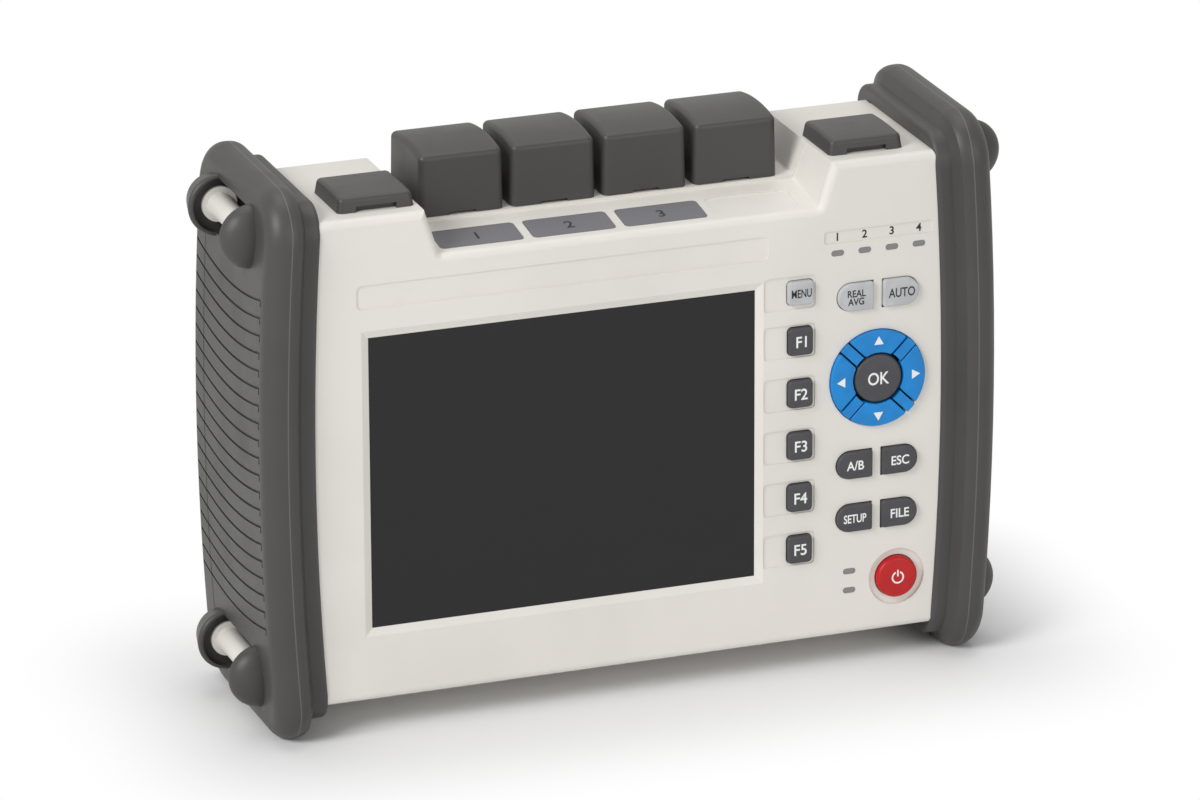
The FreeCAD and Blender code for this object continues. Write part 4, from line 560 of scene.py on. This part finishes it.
class OTDR_OT_case(Dress, bpy.types.Operator):
    """Finishes the moulded case, its battery door and the strap bars"""
    bl_idname = "otdr.case"
    bl_label = "Case"

    def make(self, context):
        paint("case_plastic", "front_shell", "rear_shell", "battery_door")
        paint("strap_bar_plastic", *(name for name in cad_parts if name.endswith("strap_bar")))
        paint("screw_metal", "case_screws", "door_screws", "stand_pin", "board_standoffs")
        paint("black_rubber", "rear_feet")
        paint("stand_moulding", "stand")
        for node in ("case_screws", "door_screws"):
            self.recesses(node)

    def recesses(self, node):
        """Painted shade: a thin black cross on the head of every screw of a node, standing in for the dark
        of its cross recess.
        """
        bm = bmesh.new()
        for low, high in islands(node):
            middle = (low + high) / 2
            for wide, tall in ((RECESS_SHADE_LONG, RECESS_SHADE_WIDE), (RECESS_SHADE_WIDE, RECESS_SHADE_LONG)):
                made = bmesh.ops.create_cube(bm, size=1.0)["verts"]
                bmesh.ops.scale(bm, verts=made, vec=(wide * MM, RECESS_SHADE_THICK * MM, tall * MM))
                bmesh.ops.translate(bm, verts=made, vec=(middle.x, high.y, middle.z))
        # The black crosses are painted shade, put where the cross recesses would be dark.
        piece("recesses_of_" + node, bm, "black_plastic", "housing")


class OTDR_OT_boots(Dress, bpy.types.Operator):
    """Finishes the two rubber side boots"""
    bl_idname = "otdr.boots"
    bl_label = "Side Boots"

    def make(self, context):
        paint("side_boot_rubber", "left_boot", "right_boot")


class OTDR_OT_caps(Dress, bpy.types.Operator):
    """Finishes the hinged rubber caps over the ports"""
    bl_idname = "otdr.caps"
    bl_label = "Port Caps"

    def make(self, context):
        paint("soft_cap_rubber", "port_cap_1", "port_cap_2", "port_cap_3", "port_cap_4", "port_cap_tabs",
              "left_side_cap", "right_side_cap", "side_cap_tabs")


class OTDR_OT_display(Dress, bpy.types.Operator):
    """Finishes the display and what lies behind it"""
    bl_idname = "otdr.display"
    bl_label = "Display"

    def make(self, context):
        paint("display_screen", "display_window", "lcd_module")
        paint("black_rubber", "display_gasket")


class OTDR_OT_keys(Dress, bpy.types.Operator):
    """Models the rubber keys beside the display, with their legends"""
    bl_idname = "otdr.keys"
    bl_label = "Keys"

    LEGENDS = {
        "menu_key": (["MENU"], 2.6, 0.66, "dark"), "soft_key_1": (["F1"], 3.5, 0.95, "light"),
        "soft_key_2": (["F2"], 3.5, 0.95, "light"), "soft_key_3": (["F3"], 3.5, 0.95, "light"),
        "soft_key_4": (["F4"], 3.5, 0.95, "light"), "soft_key_5": (["F5"], 3.5, 0.95, "light"),
        "average_key": (["REAL", "AVG"], 2.2, 0.85, "dark"), "auto_key": (["AUTO"], 2.9, 0.75, "dark"),
        "marker_key": (["A/B"], 2.9, 0.9, "light"), "escape_key": (["ESC"], 2.9, 0.9, "light"),
        "setup_key": (["SETUP"], 2.7, 0.7, "light"), "file_key": (["FILE"], 2.9, 0.9, "light"),
    }

    ROUND_LEFT = ("average_key", "marker_key", "setup_key")
    ROUND_RIGHT = ("auto_key", "escape_key", "file_key")

    def make(self, context):
        sizes = context.scene.otdr_keys
        for node, (lines, letters, squeeze, shade) in self.LEGENDS.items():
            self.key(sizes, node, lines, letters * MM, squeeze, shade)
        self.power(sizes)

    def key(self, sizes, node, lines, letters, squeeze, shade):
        centre, size = middle_of(node)
        wide, high = size.x - 2 * KEY_FLANGE, size.z - 2 * KEY_FLANGE
        large, tight = high * ROUND_END, KEY_SQUARE_CORNER
        corners = (KEY_CORNER,) * 4
        if node in self.ROUND_LEFT:
            corners = (large, tight, tight, large)
        elif node in self.ROUND_RIGHT:
            corners = (tight, large, large, tight)
        bm = bmesh.new()
        plate_outline(bm, wide, high, corners)
        raise_key(bm, KEY_PROUD, sizes.edge)
        bmesh.ops.transform(bm, matrix=to_panel(centre.x, centre.z), verts=bm.verts)
        material, legend = ("light_key", "dark_ink") if shade == "dark" else ("dark_key", "white_ink")
        made = piece("cap_of_" + node, bm, material, node, smooth=50)
        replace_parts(made, node)
        lettering("legend_of_" + node, lines, letters, to_panel(centre.x, centre.z, -KEY_PROUD), legend,
                  node, squeeze)

    def power(self, sizes):
        centre, size = middle_of("power_key")
        radius = size.x / 2 - KEY_FLANGE
        bm = bmesh.new()
        bmesh.ops.create_circle(bm, cap_ends=True, segments=64, radius=radius)
        raise_key(bm, KEY_PROUD, ROUND_KEY_EDGE)
        bmesh.ops.transform(bm, matrix=to_panel(centre.x, centre.z), verts=bm.verts)
        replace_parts(piece("cap_of_power_key", bm, "red_key", "power_key", smooth=50), "power_key")
        sign = bmesh.new()
        bmesh.ops.create_circle(sign, cap_ends=True, segments=48, radius=SIGN_RADIUS)
        bmesh.ops.inset_region(sign, faces=sign.faces[:], thickness=SIGN_LINE, use_boundary=True,
                               use_even_offset=True)
        inner = [f for f in sign.faces if len(f.verts) > 4]
        middles = {f: f.calc_center_median() for f in sign.faces}
        gap = [f for f in sign.faces if middles[f].y > 0 and abs(middles[f].x) < SIGN_GAP]
        bmesh.ops.delete(sign, geom=inner + [f for f in gap if f not in inner], context="FACES")
        bar = bmesh.ops.create_grid(sign, x_segments=1, y_segments=1, size=0.5)
        bmesh.ops.scale(sign, verts=bar["verts"], vec=(SIGN_LINE, SIGN_BAR, 1))
        bmesh.ops.translate(sign, verts=bar["verts"], vec=(0, SIGN_BAR_UP, 0))
        ink_plate(sign, sizes.ink)
        bmesh.ops.transform(sign, matrix=to_panel(centre.x, centre.z, -KEY_PROUD), verts=sign.verts)
        piece("legend_of_power_key", sign, "white_ink", "power_key")


class OTDR_OT_cursor_pad(Dress, bpy.types.Operator):
    """Models the round cursor pad: four arrow keys, the bars between them and the centre key"""
    bl_idname = "otdr.cursor_pad"
    bl_label = "Cursor Pad"

    def make(self, context):
        sizes = context.scene.otdr_keys
        centre, size = middle_of("enter_key")
        inner = size.x / 2
        for number, node in enumerate(("right_key", "up_key", "left_key", "down_key")):
            turn = Matrix.Rotation(math.radians(number * 90), 3, "Z")
            self.arrow_key(sizes, node, turn, centre, inner + PAD_GAP)
        bm = bmesh.new()
        bmesh.ops.create_circle(bm, cap_ends=True, segments=72, radius=inner)
        raise_key(bm, KEY_PROUD, ROUND_KEY_EDGE)
        bmesh.ops.transform(bm, matrix=to_panel(centre.x, centre.z), verts=bm.verts)
        made = piece("cap_of_enter_key", bm, "dark_key", "enter_key", smooth=50)
        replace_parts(made, "enter_key")
        lettering("legend_of_enter_key", ["OK"], OK_LETTERS, to_panel(centre.x, centre.z, -KEY_PROUD),
                  "white_ink", "enter_key", OK_SQUEEZE)
        paint("blue_key", "ring_frame")

    def arrow_key(self, sizes, node, turn, centre, inner):
        """A quarter of the ring, cut parallel to the bars beside it, and its arrowhead."""
        bm = bmesh.new()
        inset = PAD_BAR * math.sqrt(2)
        rim = []
        for radius, way, steps in ((PAD_RADIUS, 1, RIM_STEPS), (inner, -1, INNER_STEPS)):
            half_chord = (math.sqrt(2 * radius ** 2 - inset ** 2) - inset) / 2
            half = math.atan2(half_chord, half_chord + inset)
            for step in range(steps + 1):
                angle = way * half * (2 * step / steps - 1)
                rim.append(bm.verts.new((radius * math.cos(angle), radius * math.sin(angle), 0)))
        bm.faces.new(rim)
        corners = [rim[0], rim[RIM_STEPS], rim[RIM_STEPS + 1], rim[-1]]
        bmesh.ops.bevel(bm, geom=corners, offset=ARROW_CORNER, affect="VERTICES", segments=5, profile=0.5,
                        clamp_overlap=True)
        raise_key(bm, KEY_PROUD, ARROW_EDGE)
        bmesh.ops.rotate(bm, verts=bm.verts, cent=(0, 0, 0), matrix=turn)
        bmesh.ops.transform(bm, matrix=to_panel(centre.x, centre.z), verts=bm.verts)
        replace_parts(piece("cap_of_" + node, bm, "blue_key", node, smooth=50), node)
        head = bmesh.new()
        outwards = Matrix.Rotation(math.radians(-90), 3, "Z")
        bmesh.ops.create_circle(head, cap_ends=True, segments=3, radius=ARROWHEAD)
        bmesh.ops.rotate(head, verts=head.verts, cent=(0, 0, 0), matrix=outwards)
        ink_plate(head, sizes.ink)
        bmesh.ops.translate(head, verts=head.verts, vec=((PAD_RADIUS + inner) / 2, 0, 0))
        bmesh.ops.rotate(head, verts=head.verts, cent=(0, 0, 0), matrix=turn)
        bmesh.ops.transform(head, matrix=to_panel(centre.x, centre.z, -KEY_PROUD), verts=head.verts)
        piece("legend_of_" + node, head, "white_ink", node)


class OTDR_OT_panel_marks(Dress, bpy.types.Operator):
    """Finishes the indicators and the port labels, and prints their plain numbers"""
    bl_idname = "otdr.panel_marks"
    bl_label = "Indicators and Marks"

    def make(self, context):
        paint("lamp_window", "indicator_windows")
        paint("satin_label", "port_labels")
        tilt = math.atan(BAY_RISE / BAY_RUN)
        for number, (low, high) in enumerate(sorted(islands("port_labels"), key=lambda box: box[0].x), 1):
            middle = (low + high) / 2
            top = high.z - (high.y - middle.y) * math.tan(tilt)
            lie = Matrix.Translation((middle.x, middle.y, top)) @ Matrix.Rotation(tilt, 4, "X")
            lettering("label_mark_%d" % number, [str(number)], LABEL_LETTERS, lie, "dark_ink", "housing")
        upper = sorted(islands("indicator_windows"), key=lambda box: -box[0].z)[:INDICATOR_COUNT]
        for number, (low, high) in enumerate(sorted(upper, key=lambda box: box[0].x), 1):
            middle = (low + high) / 2
            lie = to_panel(middle.x, middle.z + INDICATOR_MARK_UP, INDICATOR_MARK_SUNK)
            lettering("indicator_mark_%d" % number, [str(number)], INDICATOR_LETTERS, lie, "dark_ink",
                      "housing")


class OTDR_OT_ports(Dress, bpy.types.Operator):
    """Finishes the ports under the caps"""
    bl_idname = "otdr.ports"
    bl_label = "Ports"

    def make(self, context):
        paint("plated_metal", "optical_adapter_1", "optical_adapter_2", "optical_adapter_3",
              "optical_adapter_4", "lan_port", "usb_port")
        paint("black_plastic", "power_jack")
        self.contacts()

    def contacts(self):
        """The eight sprung wires of the network socket."""
        low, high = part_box("lan_port")
        middle = (low + high) / 2
        bm = bmesh.new()
        lean = Matrix.Rotation(WIRE_LEAN, 3, "X")
        for number in range(WIRE_COUNT):
            across = middle.x + (number - (WIRE_COUNT - 1) / 2) * WIRE_PITCH
            made = bmesh.ops.create_cube(bm, size=1.0)["verts"]
            bmesh.ops.scale(bm, verts=made, vec=WIRE_SIZE)
            bmesh.ops.rotate(bm, verts=made, cent=(0, 0, 0), matrix=lean)
            bmesh.ops.translate(bm, verts=made, vec=(across, middle.y - WIRE_BACK, high.z - WIRE_SIZE[2]))
        piece("network_contacts", bm, "contact_gold", "housing")


class OTDR_OT_insides(Dress, bpy.types.Operator):
    """Finishes the boards, the optical module and the battery pack"""
    bl_idname = "otdr.insides"
    bl_label = "Insides"

    def make(self, context):
        paint("solder_mask", "main_board", "key_board")
        paint("plated_metal", "optical_module")
        paint("battery_sleeve", "battery_pack")


class OTDR_OT_stage(Dress, bpy.types.Operator):
    """Sets the pale table, the soft studio lights and the camera"""
    bl_idname = "otdr.stage"
    bl_label = "Stage"

    def make(self, context):
        self.camera(context)
        self.floor()
        self.world(context)
        for name, spot, size, power in LAMPS:
            self.lamp(name, spot, size, power)

    def camera(self, context):
        data = bpy.data.cameras.new("front_left_camera")
        data.lens, data.sensor_width = LENS, 36.0
        data.clip_end = 100.0
        eye = bpy.data.objects.new("front_left_camera", data)
        context.scene.collection.objects.link(eye)
        away = Vector(AWAY).normalized()
        eye.location = Vector(AIM) + away * CAMERA_DISTANCE
        turn = (-away).to_track_quat("-Z", "Y")
        eye.rotation_mode = "QUATERNION"
        eye.rotation_quaternion = turn @ Quaternion((0, 0, 1), CAMERA_ROLL)
        context.scene.camera = eye

    def lamp(self, name, spot, size, power):
        data = bpy.data.lights.new(name, "AREA")
        data.shape, data.size, data.energy = "DISK", size, power
        lamp = bpy.data.objects.new(name, data)
        bpy.context.scene.collection.objects.link(lamp)
        lamp.location = spot
        lamp.rotation_mode = "QUATERNION"
        lamp.rotation_quaternion = (Vector(LAMP_AIM) - Vector(spot)).to_track_quat("-Z", "Y")

    def floor(self):
        bm = bmesh.new()
        bmesh.ops.create_circle(bm, cap_ends=True, segments=96, radius=TABLE_RADIUS)
        mesh = bpy.data.meshes.new("table_top")
        bm.to_mesh(mesh)
        bm.free()
        finish = Finish("table_white")
        finish.set(Base_Color=(0.93, 0.93, 0.93), Roughness=0.7, Specular_IOR_Level=0.1)
        light = finish.node("ShaderNodeEmission", None, {"Color": (1, 1, 1), "Strength": 1.0})
        seen = finish.node("ShaderNodeLightPath", out="Is Camera Ray")
        across = (finish.along("X").size() - FOOT_ACROSS).at_least(0.0)
        along = (finish.along("Y").size() - FOOT_ALONG).at_least(0.0)
        reach = (across ** 2.0 + along ** 2.0) ** 0.5
        matt = Reading(finish, finish.shader.outputs[0])
        both = finish.node("ShaderNodeMixShader", None,
                           {0: reach.between(0.0, SHADOW_REACH) * seen, 1: matt, 2: light})
        finish.fill(finish.tree.nodes["Material Output"].inputs["Surface"], both)
        mesh.materials.append(finish.material)
        floor = bpy.data.objects.new("table_top", mesh)
        bpy.context.scene.collection.objects.link(floor)

    def world(self, context):
        world = bpy.data.worlds.new("studio")
        world.use_nodes = True
        context.scene.world = world
        nodes, links = world.node_tree.nodes, world.node_tree.links
        nodes.clear()
        path = nodes.new("ShaderNodeLightPath")
        shown = path.outputs["Is Camera Ray"]
        for other in ("Is Glossy Ray", "Is Transmission Ray"):
            both = nodes.new("ShaderNodeMath")
            both.operation = "MAXIMUM"
            links.new(shown, both.inputs[0])
            links.new(path.outputs[other], both.inputs[1])
            shown = both.outputs[0]
        strength = nodes.new("ShaderNodeMapRange")
        strength.inputs["To Min"].default_value = ROOM_LIGHT
        strength.inputs["To Max"].default_value = 1.0
        links.new(shown, strength.inputs["Value"])
        sky = nodes.new("ShaderNodeBackground")
        links.new(strength.outputs[0], sky.inputs["Strength"])
        out = nodes.new("ShaderNodeOutputWorld")
        links.new(sky.outputs[0], out.inputs["Surface"])
        context.scene.view_settings.view_transform = "Standard"


class OTDR_PT_panel(bpy.types.Panel):
    """Lists the steps that dress the reflectometer"""
    bl_idname = "OTDR_PT_panel"
    bl_label = "Reflectometer"
    bl_space_type = "VIEW_3D"
    bl_region_type = "UI"
    bl_category = "Reflectometer"

    def draw(self, context):
        for step in STEPS:
            self.layout.operator(step.bl_idname)
        for group in (context.scene.otdr_keys, context.scene.otdr_finishes):
            for name in group.__annotations__:
                self.layout.prop(group, name)


STEPS = (OTDR_OT_stage, OTDR_OT_case, OTDR_OT_boots, OTDR_OT_caps, OTDR_OT_display, OTDR_OT_keys,
         OTDR_OT_cursor_pad, OTDR_OT_panel_marks, OTDR_OT_ports, OTDR_OT_insides)
CLASSES = (KeySizes, Finishes, *STEPS, OTDR_PT_panel)


def register():
    for kind in CLASSES:
        bpy.utils.register_class(kind)
    bpy.types.Scene.otdr_keys = PointerProperty(type=KeySizes)
    bpy.types.Scene.otdr_finishes = PointerProperty(type=Finishes)


def unregister():
    del bpy.types.Scene.otdr_finishes
    del bpy.types.Scene.otdr_keys
    for kind in reversed(CLASSES):
        bpy.utils.unregister_class(kind)


def main():
    register()
    for step in STEPS:
        group, name = step.bl_idname.split(".")
        getattr(getattr(bpy.ops, group), name)()


if __name__ == "__main__":
    main()
